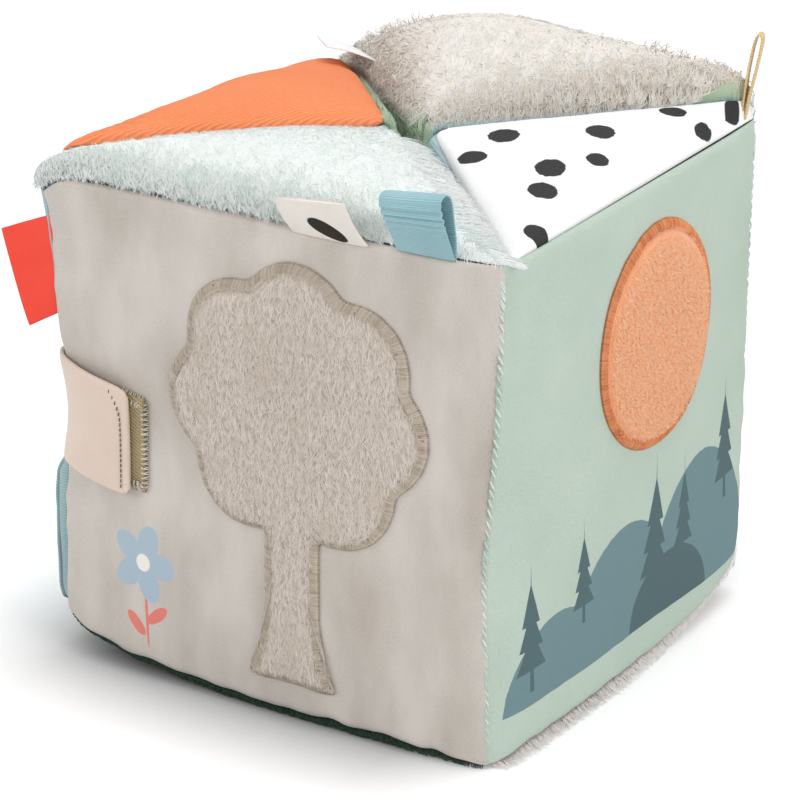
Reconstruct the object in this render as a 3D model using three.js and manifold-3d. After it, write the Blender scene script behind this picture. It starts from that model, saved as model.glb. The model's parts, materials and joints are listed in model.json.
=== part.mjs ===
// A soft folding activity cube. Four stuffed wedge cushions stand in a ring and make the cube. Three of
// its upright edges are hinges of whipped thread, and a strap with hook tape closes the fourth.
// Millimetres, +Z up, front face towards -Y. The origin is on the floor, in the middle of the box that
// holds the whole toy.

import * as THREE from "three";
import { mergeVertices } from "three/addons/utils/BufferGeometryUtils.js";
import Module from "manifold-3d";

// The closed cube
const cubeSide = 150; // from seam to seam along a horizontal edge
const cubeHeight = 150; // from the floor to the top seams
const seamLift = 3.5; // the bottom seams stand this far above the floor
const restDepth = 0.5; // the belly of each bottom is pressed flat by this much

// How the stuffing swells each cushion
const outerCrown = 3.5; // swell of an upright outer face
const apexRise = 7; // the top seams climb this far towards the middle of the cube
const apexDraw = 5; // the apex is drawn back this far at the top and bottom seams
const apexGap = 0.5; // from the middle of the cube to each apex at half height
const cornerGap = 0.5; // from the cube's upright edge line to each cushion's corner
const topCrowns = { front: 9, right: 5, back: 18, left: 13 };

// Cloth, stitching and the small play between layers
const fabric = 1.2;
const layerGap = 0.3;
const seamTrim = 0.6; // panels stop this far short of the corner that they share
const weldTolerance = 1e-3;

// Hinges of whipped thread
const hingeOut = 0.6; // the hinge line lies this far outside both faces
const hingeThread = 1.8; // diameter of the roll of thread
const hingeMargin = 8; // the thread stops this far from the floor and from the top seams

// Closing strap and its tapes
const strapHeight = 32;
const strapBottom = 57;
const strapThick = 2.2;
const strapRoot = 25; // from the upright edge to the sewn end, on the left face
const strapReach = 30.5; // from the upright edge to the free end, on the front face
const strapBend = 6; // from the upright edge to where the strap starts to turn
const tapeThick = 1;
const tapeMargin = 1.5; // the tapes stay this far inside the strap's height
const loopTapeWidth = 20;
const loopTapeShows = 4.8; // how much of the tape shows past the strap's free end
const hookTapeWidth = 14;

// Ribbon loops
const ribbonThick = 0.9;
const wideRibbon = 18.5;
const wideLoopDeep = 6; // inside width of the blue loop
const wideLoopTall = 17; // inside height of the blue loop
const wideLoopLean = 20; // degrees forward from upright
const wideLoopOut = 1; // its foot stands this far outside the front top seam
const wideLoopAt = 51.2; // its middle, right of the front face's middle
const narrowRibbon = 5;
const hangLoopWide = 6;
const hangLoopTall = 28;
const hangLoopInset = 2.4; // its middle, in from the right face
const hangLoopBack = 5; // its middle, in from the back right corner

// Flat labels
const dottedTag = { width: 24, length: 15, thick: 1.2, at: 21, lean: 32, out: 0.6 };
const blankLabel = { width: 30, length: 16, thick: 0.8, fromCorner: 22, inset: 2 };
const sideTag = { reach: 16, height: 28, thick: 0.8, down: 20, lean: 14, turn: 8, overlap: 1.5 };

// Sewn-on plush pictures
const plushThick = 3.5;
const treeCrown = { radius: 38, scallop: 5, lobes: 7, rise: 83 };
const treeTrunk = { top: 9, foot: 15, flare: 20 }; // half widths, and how high the foot flares
const treeMiddle = 12; // right of the front face's middle
const treeFoot = 13; // above the floor
const discRadius = 33;
const discMiddle = 9.5; // towards the back from the right face's middle
const discHeight = 104;

// Sound makers in the stuffing
const rattle = { diameter: 32, thick: 14, rounding: 5 };
const squeaker = { diameter: 28, thick: 11, rounding: 3 };
const pocketPlay = 0.5;

// How finely the swollen forms are cut into facets
const edgeSteps = 9;
const heightSteps = 8;
const roundSteps = 24;

const half = cubeSide / 2;
const sideBottom = seamLift + fabric + layerGap;

const wasm = await Module();
wasm.setup();

function toSolid(geometry) {
  const loose = geometry.index ? geometry.toNonIndexed() : geometry;
  const bare = new THREE.BufferGeometry().setAttribute("position", loose.getAttribute("position"));
  const merged = mergeVertices(bare, weldTolerance);
  const mesh = new wasm.Mesh({
    numProp: 3,
    vertProperties: new Float32Array(merged.attributes.position.array),
    triVerts: new Uint32Array(merged.index.array),
  });
  return new wasm.Manifold(mesh);
}

function toGeometry(solid) {
  const { vertProperties, triVerts } = solid.getMesh();
  return new THREE.BufferGeometry()
    .setAttribute("position", new THREE.BufferAttribute(vertProperties, 3))
    .setIndex(new THREE.BufferAttribute(triVerts, 1));
}

// Grids. A grid lists its nodes, its triangles and the loop of nodes round its edge, both
// anticlockwise as seen from outside the cushion.

function quadGrid(columns, rows) {
  const at = (i, j) => j * (columns + 1) + i;
  const nodes = [];
  const faces = [];
  for (let j = 0; j <= rows; j++) {
    for (let i = 0; i <= columns; i++) nodes.push([i / columns, (2 * j) / rows - 1]);
  }
  for (let j = 0; j < rows; j++) {
    for (let i = 0; i < columns; i++) {
      faces.push([at(i, j), at(i + 1, j), at(i + 1, j + 1)]);
      faces.push([at(i, j), at(i + 1, j + 1), at(i, j + 1)]);
    }
  }
  const loop = [];
  for (let i = 0; i < columns; i++) loop.push(at(i, 0));
  for (let j = 0; j < rows; j++) loop.push(at(columns, j));
  for (let i = columns; i > 0; i--) loop.push(at(i, rows));
  for (let j = rows; j > 0; j--) loop.push(at(0, j));
  return { nodes, faces, loop };
}

// A node of this grid is its shares of the left corner, the right corner and the apex.
function triangleGrid(steps) {
  const rowStart = (row) => row * (steps + 1) - (row * (row - 1)) / 2;
  const nodes = [];
  const faces = [];
  for (let row = 0; row <= steps; row++) {
    for (let i = 0; i <= steps - row; i++) {
      nodes.push([(steps - row - i) / steps, i / steps, row / steps]);
    }
  }
  for (let row = 0; row < steps; row++) {
    for (let i = 0; i < steps - row; i++) {
      const low = rowStart(row) + i;
      const high = rowStart(row + 1) + i;
      faces.push([low, low + 1, high]);
      if (i < steps - row - 1) faces.push([low + 1, high + 1, high]);
    }
  }
  const loop = [];
  for (let i = 0; i < steps; i++) loop.push(i);
  for (let row = 0; row < steps; row++) loop.push(rowStart(row) + steps - row);
  for (let row = steps; row > 0; row--) loop.push(rowStart(row));
  return { nodes, faces, loop };
}

function surfaceGeometry(points, faces) {
  return new THREE.BufferGeometry().setFromPoints(faces.flat().map((n) => points[n]));
}

// The closed solid between an outer and an inner sheet of matching points.
function shellGeometry(outer, inner, { faces, loop }) {
  const points = [...outer, ...inner];
  const under = outer.length;
  const all = [...faces];
  for (const [a, b, c] of faces) all.push([a + under, c + under, b + under]);
  loop.forEach((from, n) => {
    const to = loop[(n + 1) % loop.length];
    all.push([to, from, from + under], [to, from + under, to + under]);
  });
  return surfaceGeometry(points, all);
}

const flipped = (grid) => ({
  nodes: grid.nodes,
  faces: grid.faces.map(([a, b, c]) => [a, c, b]),
  loop: [...grid.loop].reverse(),
});

const sideGrid = quadGrid(edgeSteps, heightSteps);
const capGrid = triangleGrid(edgeSteps);

// One wedge cushion, drawn as the front one: its outer face towards -Y and its apex at the origin.
// Levels run from -1 at the bottom seam to 1 at the top seam. An inset is a depth under the skin.

function planCorners(level, inset) {
  const apexY = -(apexGap + apexDraw * level ** 4);
  const slope = (apexY + half) / (half - cornerGap);
  const drop = inset * Math.hypot(1, slope);
  const x = half - cornerGap - (inset + drop) / slope;
  return {
    left: new THREE.Vector2(-x, -half + inset),
    right: new THREE.Vector2(x, -half + inset),
    apex: new THREE.Vector2(0, apexY - drop),
  };
}

const swell = (share) => 1 - Math.abs(share) ** 3;
const topSeam = (towardsApex) => cubeHeight + apexRise * towardsApex ** 1.3;
const capSwell = ([a, b, c]) => Math.sqrt(27 * a * b * c);
const bellySwell = ([a, b, c]) => (27 * a * b * c) ** 0.35;

function sideHeight(level, towardsApex) {
  const top = topSeam(towardsApex) - fabric - layerGap;
  return THREE.MathUtils.lerp(sideBottom, top, (level + 1) / 2);
}

// across runs from 0 at the left corner to 1 at the right corner.
function outerPoint(across, level, inset) {
  const { left, right } = planCorners(level, inset);
  const crown = outerCrown * swell(2 * across - 1) * swell(level);
  const x = THREE.MathUtils.lerp(left.x, right.x, across);
  return new THREE.Vector3(x, left.y - crown, sideHeight(level, 0));
}

// The crown of an outer face at half height, at a distance from the cube's upright edge.
const crownAt = (fromEdge) => outerCrown * swell(1 - (fromEdge - cornerGap) / (half - cornerGap));

// along runs from 0 at the outer corner to 1 at the apex, on the side named left or right.
function innerPoint(side, along, level, inset) {
  const corners = planCorners(level, inset);
  const p = corners[side].clone().lerp(corners.apex, along);
  return new THREE.Vector3(p.x, p.y, sideHeight(level, along));
}

function planPoint(shares, level, inset) {
  const { left, right, apex } = planCorners(level, inset);
  const [a, b, c] = shares;
  return [a * left.x + b * right.x, a * left.y + b * right.y + c * apex.y];
}

function topPoint(shares, inset, depth, crown) {
  const z = topSeam(shares[2]) + crown * capSwell(shares) - depth;
  return new THREE.Vector3(...planPoint(shares, 1, inset), z);
}

function bottomPoint(shares, inset, depth) {
  const belly = seamLift - (seamLift + restDepth) * bellySwell(shares);
  return new THREE.Vector3(...planPoint(shares, -1, inset), Math.max(0, belly) + depth);
}

// A panel stops short of both its upright edges, so that it clears the panel next to it.
function trimmed(share, length) {
  const margin = seamTrim / length;
  return THREE.MathUtils.lerp(margin, 1 - margin, share);
}

function outerPanel() {
  const width = cubeSide - 2 * cornerGap;
  const sheet = (inset) => sideGrid.nodes.map(([u, w]) => outerPoint(trimmed(u, width), w, inset));
  return shellGeometry(sheet(0), sheet(fabric), sideGrid);
}

// Seen from outside, the left inner face starts at the apex and the right one at the outer corner.
function innerSheet(side, inset, share) {
  const along = (u) => share(side === "left" ? 1 - u : u);
  return sideGrid.nodes.map(([u, w]) => innerPoint(side, along(u), w, inset));
}

function innerPanel(side) {
  const length = Math.hypot(half - cornerGap, half - apexGap);
  const sheet = (inset) => innerSheet(side, inset, (u) => trimmed(u, length));
  return shellGeometry(sheet(0), sheet(fabric), sideGrid);
}

function topPanel(crown) {
  const sheet = (depth) => capGrid.nodes.map((shares) => topPoint(shares, 0, depth, crown));
  return shellGeometry(sheet(0), sheet(fabric), capGrid);
}

function bottomPanel() {
  const sheet = (depth) => capGrid.nodes.map((shares) => bottomPoint(shares, 0, depth));
  return shellGeometry(sheet(0), sheet(fabric), flipped(capGrid));
}

function stuffing(crown) {
  const depth = fabric + layerGap;
  const outer = sideGrid.nodes.map(([u, w]) => outerPoint(u, w, depth));
  const top = capGrid.nodes.map((shares) => topPoint(shares, depth, depth, crown));
  const bottom = capGrid.nodes.map((shares) => bottomPoint(shares, depth, depth));
  const sheets = [
    [outer, sideGrid],
    [innerSheet("left", depth, (u) => u), sideGrid],
    [innerSheet("right", depth, (u) => u), sideGrid],
    [top, capGrid],
    [bottom, flipped(capGrid)],
  ];
  const corners = sheets.flatMap(([points, grid]) => grid.faces.flat().map((n) => points[n]));
  return new THREE.BufferGeometry().setFromPoints(corners);
}

// Flat pieces sewn on a cushion. Each is the slice of a sheet over the panel that its outline cuts.

function outlinePrism(outline, turnUpright) {
  const deep = cubeSide;
  const prism = new THREE.ExtrudeGeometry(outline, {
    depth: deep,
    bevelEnabled: false,
    curveSegments: roundSteps / 2,
  });
  if (turnUpright) prism.rotateX(Math.PI / 2);
  return prism;
}

// The outline is drawn on the outer face, x across and y up. lift is the depth of what lies under it.
function facePatch(outline, lift, thick) {
  const skin = sideGrid.nodes.map(([u, w]) => outerPoint(u, w, 0));
  const sheet = (out) => skin.map((p) => new THREE.Vector3(p.x, p.y - out, p.z));
  const slab = shellGeometry(sheet(lift + thick), sheet(lift), sideGrid);
  return toGeometry(toSolid(slab).intersect(toSolid(outlinePrism(outline, true))));
}

// The outline is drawn on the top, as seen from above.
function topPatch(outline, crown, thick) {
  const sheet = (height) => capGrid.nodes.map((shares) => topPoint(shares, 0, -height, crown));
  const slab = shellGeometry(sheet(layerGap + thick), sheet(layerGap), capGrid);
  const prism = outlinePrism(outline, false).translate(0, 0, cubeHeight / 2);
  return toGeometry(toSolid(slab).intersect(toSolid(prism)));
}

function rectangle(x0, y0, x1, y1) {
  return new THREE.Shape([
    new THREE.Vector2(x0, y0),
    new THREE.Vector2(x1, y0),
    new THREE.Vector2(x1, y1),
    new THREE.Vector2(x0, y1),
  ]);
}

// A round tree: a trunk with a spread foot, and a crown with scallops.
function treeOutline() {
  const crownMiddle = new THREE.Vector2(treeMiddle, treeFoot + treeCrown.rise);
  const points = [
    new THREE.Vector2(treeMiddle - treeTrunk.foot, treeFoot),
    new THREE.Vector2(treeMiddle + treeTrunk.foot, treeFoot),
    new THREE.Vector2(treeMiddle + treeTrunk.top, treeFoot + treeTrunk.flare),
  ];
  const opening = Math.asin(treeTrunk.top / treeCrown.radius);
  const stepsPerLobe = 6;
  const steps = treeCrown.lobes * stepsPerLobe;
  for (let n = 0; n <= steps; n++) {
    const turn = -Math.PI / 2 + opening + ((2 * Math.PI - 2 * opening) * n) / steps;
    const bulge = Math.abs(Math.sin((Math.PI * n) / stepsPerLobe));
    const radius = treeCrown.radius + treeCrown.scallop * bulge;
    const offset = new THREE.Vector2(Math.cos(turn), Math.sin(turn)).multiplyScalar(radius);
    points.push(crownMiddle.clone().add(offset));
  }
  points.push(new THREE.Vector2(treeMiddle - treeTrunk.top, treeFoot + treeTrunk.flare));
  return new THREE.Shape(points);
}

function discOutline() {
  return new THREE.Shape().absarc(discMiddle, discHeight, discRadius, 0, 2 * Math.PI);
}

// A leaning label, cut off by the upright seam at x = 0 that holds it.
function sideTagOutline() {
  const lean = THREE.MathUtils.degToRad(sideTag.lean);
  const topOut = new THREE.Vector2(-sideTag.reach, cubeHeight - sideTag.down);
  const downwards = new THREE.Vector2(Math.sin(lean), -Math.cos(lean));
  const lowOut = topOut.clone().addScaledVector(downwards, sideTag.height);
  const onSeam = (p) => new THREE.Vector2(0, p.y - p.x * Math.tan(lean));
  return new THREE.Shape([topOut, lowOut, onSeam(lowOut), onSeam(topOut)]);
}

// A ribbon bent into an upright oval loop, standing on the origin, its ribbon running along X.
function ribbonLoop(wide, tall, ribbonWidth) {
  const middle = tall / 2 + ribbonThick;
  const ring = new THREE.Shape();
  ring.absellipse(0, middle, wide / 2 + ribbonThick, middle, 0, 2 * Math.PI);
  ring.holes.push(new THREE.Path().absellipse(0, middle, wide / 2, tall / 2, 0, 2 * Math.PI));
  const loop = new THREE.ExtrudeGeometry(ring, {
    depth: ribbonWidth,
    bevelEnabled: false,
    curveSegments: roundSteps / 2,
  });
  return loop.translate(0, 0, -ribbonWidth / 2).rotateX(Math.PI / 2).rotateZ(Math.PI / 2);
}

// The strap's plan, from the sewn end on the left face round the cube's edge to the free end on the
// front face. It passes over both tapes there.
const strapOnLeft = (fromEdge) => half + crownAt(fromEdge) + layerGap + strapThick / 2;
const underStrap = 2 * tapeThick + 3 * layerGap;
const strapOnFront = (fromEdge) => half + crownAt(fromEdge) + underStrap + strapThick / 2;
const strapPivot = new THREE.Vector2(-strapOnLeft(strapRoot), -half + strapRoot);

function strapOutline() {
  const middle = new THREE.CatmullRomCurve3(
    [
      [strapPivot.x, strapPivot.y],
      [-strapOnLeft(2 * strapBend), -half + 2 * strapBend],
      [-strapOnLeft(strapBend), -half + strapBend],
      [-half - strapThick, -half - strapThick],
      [-half + strapBend, -strapOnFront(strapBend)],
      [-half + 2 * strapBend, -strapOnFront(2 * strapBend)],
      [-half + strapReach, -strapOnFront(strapReach)],
    ].map(([x, y]) => new THREE.Vector3(x, y, 0)),
  );
  const steps = roundSteps;
  const rightSide = [];
  const leftSide = [];
  for (let n = 0; n <= steps; n++) {
    const p = middle.getPoint(n / steps);
    const t = middle.getTangent(n / steps);
    const aside = new THREE.Vector2(t.y, -t.x).normalize().multiplyScalar(strapThick / 2);
    rightSide.push(new THREE.Vector2(p.x + aside.x, p.y + aside.y));
    leftSide.unshift(new THREE.Vector2(p.x - aside.x, p.y - aside.y));
  }
  return new THREE.Shape([...rightSide, ...leftSide]);
}

// A round flat case with rounded edges, its axis along Y, its front face at y = 0.
function roundCase({ diameter, thick, rounding }) {
  const flat = diameter / 2 - rounding;
  const arc = new THREE.Path()
    .moveTo(0, 0)
    .lineTo(flat, 0)
    .absarc(flat, rounding, rounding, -Math.PI / 2, 0)
    .absarc(flat, thick - rounding, rounding, 0, Math.PI / 2)
    .lineTo(0, thick);
  return new THREE.LatheGeometry(arc.getPoints(4), roundSteps);
}

const caseFront = -half - outerCrown + fabric + layerGap;
const caseHeight = cubeHeight / 2;

function placedCase(sizes) {
  return roundCase(sizes).translate(0, caseFront, caseHeight);
}

// The stuffing has a pocket for the case, open towards the outer panel.
function stuffingWithPocket(crown, { diameter, thick }) {
  const backWall = caseFront + thick + pocketPlay;
  const mouth = -half - 2 * outerCrown;
  const pocket = new THREE.CylinderGeometry(
    diameter / 2 + pocketPlay,
    diameter / 2 + pocketPlay,
    backWall - mouth,
    roundSteps,
  ).translate(0, (backWall + mouth) / 2, caseHeight);
  return toGeometry(toSolid(stuffing(crown)).subtract(toSolid(pocket)));
}

// Finishes
const finish = (color, roughness = 0.9) => new THREE.MeshStandardMaterial({ color, roughness });
const cloth = {
  satin: finish(0xcbc3b9, 0.6),
  sage: finish(0xb3c2b2),
  mint: finish(0xdfe6e2),
  dotted: finish(0xf2f2f2),
  cream: finish(0xd9d3cb),
  orange: finish(0xee8a58),
  teal: finish(0x9fbcc0),
  green: finish(0xb9cfae),
  slate: finish(0x6f8f8c),
  forest: finish(0x6d8a78),
  pink: finish(0xe5d6cf),
  filling: finish(0xf5f5f2),
  beigePlush: finish(0xcbbfb0),
  orangePlush: finish(0xd98558),
  strap: finish(0xd9c5b5, 0.55),
  tape: finish(0x9c8a6c),
  blueRibbon: finish(0x86adba, 0.6),
  goldRibbon: finish(0xdcc08f, 0.6),
  white: finish(0xf4f4f4, 0.7),
  red: finish(0xe8503c, 0.7),
  thread: finish(0x8fa3ab),
  casing: finish(0xe9e9ea, 0.4),
};

const cube = new THREE.Group();

function place(group, name, geometry, material) {
  const mesh = new THREE.Mesh(geometry, material);
  mesh.name = name;
  group.add(mesh);
  return mesh;
}

// The five skins and the stuffing of one cushion, turned to its side of the cube.
function cushion(name, turns, skins, filling) {
  const group = new THREE.Group();
  group.rotation.z = (turns * Math.PI) / 2;
  const crown = topCrowns[name];
  place(group, name + "_stuffing", filling ?? stuffing(crown), cloth.filling);
  place(group, name + "_outer_panel", outerPanel(), skins.outer);
  place(group, name + "_top_panel", topPanel(crown), skins.top);
  place(group, name + "_bottom_panel", bottomPanel(), skins.bottom);
  place(group, name + "_inner_left_panel", innerPanel("left"), skins.inner);
  place(group, name + "_inner_right_panel", innerPanel("right"), skins.inner);
  cube.add(group);
  return group;
}

// Front cushion
const front = cushion(
  "front",
  0,
  { outer: cloth.satin, top: cloth.mint, bottom: cloth.forest, inner: cloth.teal },
  stuffingWithPocket(topCrowns.front, rattle),
);
place(front, "rattle_case", placedCase(rattle), cloth.casing);
place(front, "tree_applique", facePatch(treeOutline(), layerGap, plushThick), cloth.beigePlush);

const loopTapeRight = -half + strapReach + loopTapeShows;
const tapeBottom = strapBottom + tapeMargin;
const tapeTop = strapBottom + strapHeight - tapeMargin;
const loopTapeOutline = rectangle(loopTapeRight - loopTapeWidth, tapeBottom, loopTapeRight, tapeTop);
place(front, "strap_loop_tape", facePatch(loopTapeOutline, layerGap, tapeThick), cloth.tape);

const tagBody = new THREE.BoxGeometry(dottedTag.width, dottedTag.thick, dottedTag.length);
tagBody.translate(0, 0, dottedTag.length / 2).rotateX(THREE.MathUtils.degToRad(dottedTag.lean));
const tagMesh = place(front, "dotted_tag", tagBody, cloth.dotted);
tagMesh.position.set(dottedTag.at, -half - dottedTag.out, cubeHeight + layerGap);

const blueLoop = ribbonLoop(wideLoopDeep, wideLoopTall, wideRibbon);
blueLoop.rotateX(THREE.MathUtils.degToRad(wideLoopLean));
const blueLoopMesh = place(front, "blue_ribbon_loop", blueLoop, cloth.blueRibbon);
blueLoopMesh.position.set(wideLoopAt, -half - wideLoopOut, cubeHeight + layerGap / 2);

const sideTagBody = new THREE.ExtrudeGeometry(sideTagOutline(), {
  depth: sideTag.thick,
  bevelEnabled: false,
}).rotateX(Math.PI / 2);
const sideTagMesh = place(front, "red_side_tag", sideTagBody, cloth.red);
sideTagMesh.rotation.z = THREE.MathUtils.degToRad(sideTag.turn);
sideTagMesh.position.set(-half + sideTag.overlap, -half - crownAt(sideTag.overlap) - layerGap, 0);

// Right cushion
const right = cushion(
  "right",
  1,
  { outer: cloth.sage, top: cloth.dotted, bottom: cloth.pink, inner: cloth.teal },
  stuffingWithPocket(topCrowns.right, squeaker),
);
place(right, "squeaker_case", placedCase(squeaker), cloth.casing);
place(right, "sun_applique", facePatch(discOutline(), layerGap, plushThick), cloth.orangePlush);

// The height of a mesh's top at a point of the plan.
function topOf(mesh, x, y) {
  mesh.updateWorldMatrix(true, false);
  const from = new THREE.Vector3(x, y, 2 * cubeHeight);
  const down = new THREE.Vector3(0, 0, -1);
  return new THREE.Raycaster(from, down).intersectObject(mesh)[0].point.z;
}

const hangLoop = ribbonLoop(hangLoopWide, hangLoopTall, narrowRibbon).rotateZ(Math.PI / 2);
const hangLoopMesh = place(cube, "hanging_loop", hangLoop, cloth.goldRibbon);
const [hangLoopX, hangLoopY] = [half - hangLoopInset, half - hangLoopBack];
const hangLoopSeat = topOf(right.getObjectByName("right_top_panel"), hangLoopX, hangLoopY);
hangLoopMesh.position.set(hangLoopX, hangLoopY, hangLoopSeat + layerGap);

// Back cushion
cushion("back", 2, { outer: cloth.slate, top: cloth.cream, bottom: cloth.mint, inner: cloth.green });

// Left cushion
const left = cushion("left", 3, {
  outer: cloth.teal,
  top: cloth.orange,
  bottom: cloth.sage,
  inner: cloth.green,
});
const labelEnd = blankLabel.fromCorner + blankLabel.width;
const alongSeam = new THREE.Vector2(1, 1).normalize();
const offSeam = new THREE.Vector2(1, -1).normalize();
const seamCorner = new THREE.Vector2(-half, -half);
const labelCorner = (along, off) =>
  seamCorner.clone().addScaledVector(alongSeam, along).addScaledVector(offSeam, off);
const labelOutline = new THREE.Shape([
  labelCorner(blankLabel.fromCorner, blankLabel.inset),
  labelCorner(blankLabel.fromCorner, blankLabel.inset + blankLabel.length),
  labelCorner(labelEnd, blankLabel.inset + blankLabel.length),
  labelCorner(labelEnd, blankLabel.inset),
]);
place(left, "blank_label", topPatch(labelOutline, topCrowns.left, blankLabel.thick), cloth.white);

// Thread hinges along three upright edges
const hingeLength = cubeHeight - 2 * hingeMargin;
const hingeLine = half + hingeOut;
for (const [name, x, y] of [
  ["front_hinge_thread", hingeLine, -hingeLine],
  ["back_hinge_thread", hingeLine, hingeLine],
  ["left_hinge_thread", -hingeLine, hingeLine],
]) {
  const roll = new THREE.CylinderGeometry(hingeThread / 2, hingeThread / 2, hingeLength, 8);
  const mesh = place(cube, name, roll.rotateX(Math.PI / 2), cloth.thread);
  mesh.position.set(x, y, cubeHeight / 2);
}

// Strap round the front left edge, with hook tape inside its free end
const strap = new THREE.ExtrudeGeometry(strapOutline(), { depth: strapHeight, bevelEnabled: false });
place(cube, "closing_strap", strap, cloth.strap).position.z = strapBottom;

const hookRight = -half + strapReach;
const hookOutline = rectangle(hookRight - hookTapeWidth, tapeBottom, hookRight, tapeTop);
const hookLift = 2 * layerGap + tapeThick;
place(cube, "strap_hook_tape", facePatch(hookOutline, hookLift, tapeThick), cloth.tape);

// The origin goes to the middle of the toy's own box
const box = new THREE.Box3().setFromObject(cube);
const middle = box.getCenter(new THREE.Vector3());
cube.position.set(-middle.x, -middle.y, 0);

export default cube;
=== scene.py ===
"""A soft folding activity cube for a baby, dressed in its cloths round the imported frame.

Lengths are in millimetres while a piece is being shaped, measured from the middle of the cube's
footprint with the front face towards -Y, and are turned to metres when the mesh is laid in place.
"""

import json
import math

import bmesh
import bpy
import numpy as np
from mathutils import Matrix, Vector, noise

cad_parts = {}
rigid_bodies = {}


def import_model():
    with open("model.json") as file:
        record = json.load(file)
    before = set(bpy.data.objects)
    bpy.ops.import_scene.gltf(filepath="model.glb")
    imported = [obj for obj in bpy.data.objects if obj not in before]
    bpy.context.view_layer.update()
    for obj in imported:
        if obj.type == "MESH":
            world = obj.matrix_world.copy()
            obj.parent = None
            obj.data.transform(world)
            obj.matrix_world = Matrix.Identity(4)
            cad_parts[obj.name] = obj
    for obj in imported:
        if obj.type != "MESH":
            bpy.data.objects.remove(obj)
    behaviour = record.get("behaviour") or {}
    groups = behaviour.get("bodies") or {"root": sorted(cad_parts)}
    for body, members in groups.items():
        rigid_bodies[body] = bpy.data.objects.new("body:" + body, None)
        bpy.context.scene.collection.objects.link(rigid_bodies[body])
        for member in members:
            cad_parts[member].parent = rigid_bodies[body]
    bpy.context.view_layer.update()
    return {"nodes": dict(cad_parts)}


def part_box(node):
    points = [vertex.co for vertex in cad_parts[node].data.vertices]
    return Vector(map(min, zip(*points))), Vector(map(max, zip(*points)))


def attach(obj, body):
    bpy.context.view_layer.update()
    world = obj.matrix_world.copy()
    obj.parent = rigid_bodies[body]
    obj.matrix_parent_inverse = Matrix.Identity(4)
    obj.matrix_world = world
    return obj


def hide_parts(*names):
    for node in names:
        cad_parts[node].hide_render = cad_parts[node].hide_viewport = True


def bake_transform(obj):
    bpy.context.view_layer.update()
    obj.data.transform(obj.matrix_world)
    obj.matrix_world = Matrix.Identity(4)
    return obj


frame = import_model()

# Studio. A white floor and backdrop, three broad lamps, overhead, front left and right, and a camera
# above the cube's front right edge, looking slightly down.

MM = 0.001
HALF = 75.0
CUBE_HEIGHT = 150.0
PICTURE_SIZE = 800  # in pixels
LOWEST = 0.2  # how far every point stays above the floor
cube_middle = np.array(
    [
        sum(corner[0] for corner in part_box("front_outer_panel")) / 2 / MM,
        sum(corner[1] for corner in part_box("right_outer_panel")) / 2 / MM,
        0.0,
    ]
)


def in_row(points):
    """Points measured from the cube's middle, in millimetres, as row coordinates in metres."""
    return (np.asarray(points, float) + cube_middle) * MM


# How far the stuffing pushes each corner of the cube out of square: right, back and up, in mm.
corner_shifts = {
    (-1, -1, -1): (0.0, 0.0, 0.0),
    (1, -1, -1): (-0.5, -0.5, -0.8),
    (-1, 1, -1): (0.0, 0.0, 0.0),
    (1, 1, -1): (0.0, -2.0, 0.0),
    (-1, -1, 1): (-2.5, 0.0, 0.5),
    (1, -1, 1): (1.4, 0.5, -1.5),
    (-1, 1, 1): (0.0, 0.0, 0.0),
    (1, 1, 1): (0.0, 0.0, 4.0),
}

# Upright edges that are drawn aside part of the way up: the edge, the shift right and back, the height
# of its middle, and its reach up and down and along the faces, all in mm.
edge_bows = (((-1, -1), (3.6, 3.6), 78, 19, 14), ((1, -1), (-2.4, -1.2), 57, 34, 22))


def settled(points):
    """Points of the square cube moved to where the stuffed one has them."""
    points = np.asarray(points, float)
    share = points / HALF
    share[..., 2] -= 1
    share = np.clip(share, -1.2, 1.2)
    moved = points.copy()
    for corner, shift in corner_shifts.items():
        weight = np.prod((1 + np.array(corner) * share) / 2, axis=-1)
        moved += weight[..., None] * np.array(shift)
    for (side_x, side_y), (right, back), middle, tall, wide in edge_bows:
        near = np.exp(-np.hypot(points[..., 0] - side_x * HALF, points[..., 1] - side_y * HALF) / wide)
        near = near * np.exp(-(((points[..., 2] - middle) / tall) ** 2))
        moved[..., 0] += right * near
        moved[..., 1] += back * near
    moved[..., 2] = np.maximum(moved[..., 2], LOWEST)
    return moved


def place_object(name, data):
    """A new object in the scene."""
    made = bpy.data.objects.new(name, data)
    bpy.context.scene.collection.objects.link(made)
    return made


def mesh_of(name, made):
    """The mesh of a finished bmesh, which is freed."""
    data = bpy.data.meshes.new(name)
    made.to_mesh(data)
    made.free()
    return data


def add_camera(azimuth, elevation, roll, distance, focal_pixels, aside, above):
    """A camera turned round the cube by angles in degrees, and aimed near its middle, in mm."""
    turn, tilt, lean = map(math.radians, (azimuth, elevation, roll))
    right = Vector((math.cos(turn), math.sin(turn), 0))
    back = Vector((math.sin(turn) * math.cos(tilt), -math.cos(turn) * math.cos(tilt), math.sin(tilt)))
    up = back.cross(right)
    rolled_right = math.cos(lean) * right + math.sin(lean) * up
    rolled_up = -math.sin(lean) * right + math.cos(lean) * up
    target = Vector((0, 0, CUBE_HEIGHT / 2)) + aside * rolled_right + above * rolled_up
    place = Vector(in_row(target + distance * back))
    lens = bpy.data.cameras.new("camera")
    lens.sensor_width = 36.0
    lens.lens = focal_pixels / PICTURE_SIZE * lens.sensor_width
    camera = place_object("camera", lens)
    axes = Matrix((rolled_right, rolled_up, back)).transposed()
    camera.matrix_world = Matrix.Translation(place) @ axes.to_4x4()
    bpy.context.scene.camera = camera


add_camera(
    azimuth=32.466, elevation=20.616, roll=0.258, distance=989.76, focal_pixels=3276.7,
    aside=-2.915, above=-3.273,
)
bpy.context.scene.view_settings.view_transform = "Standard"


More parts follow.
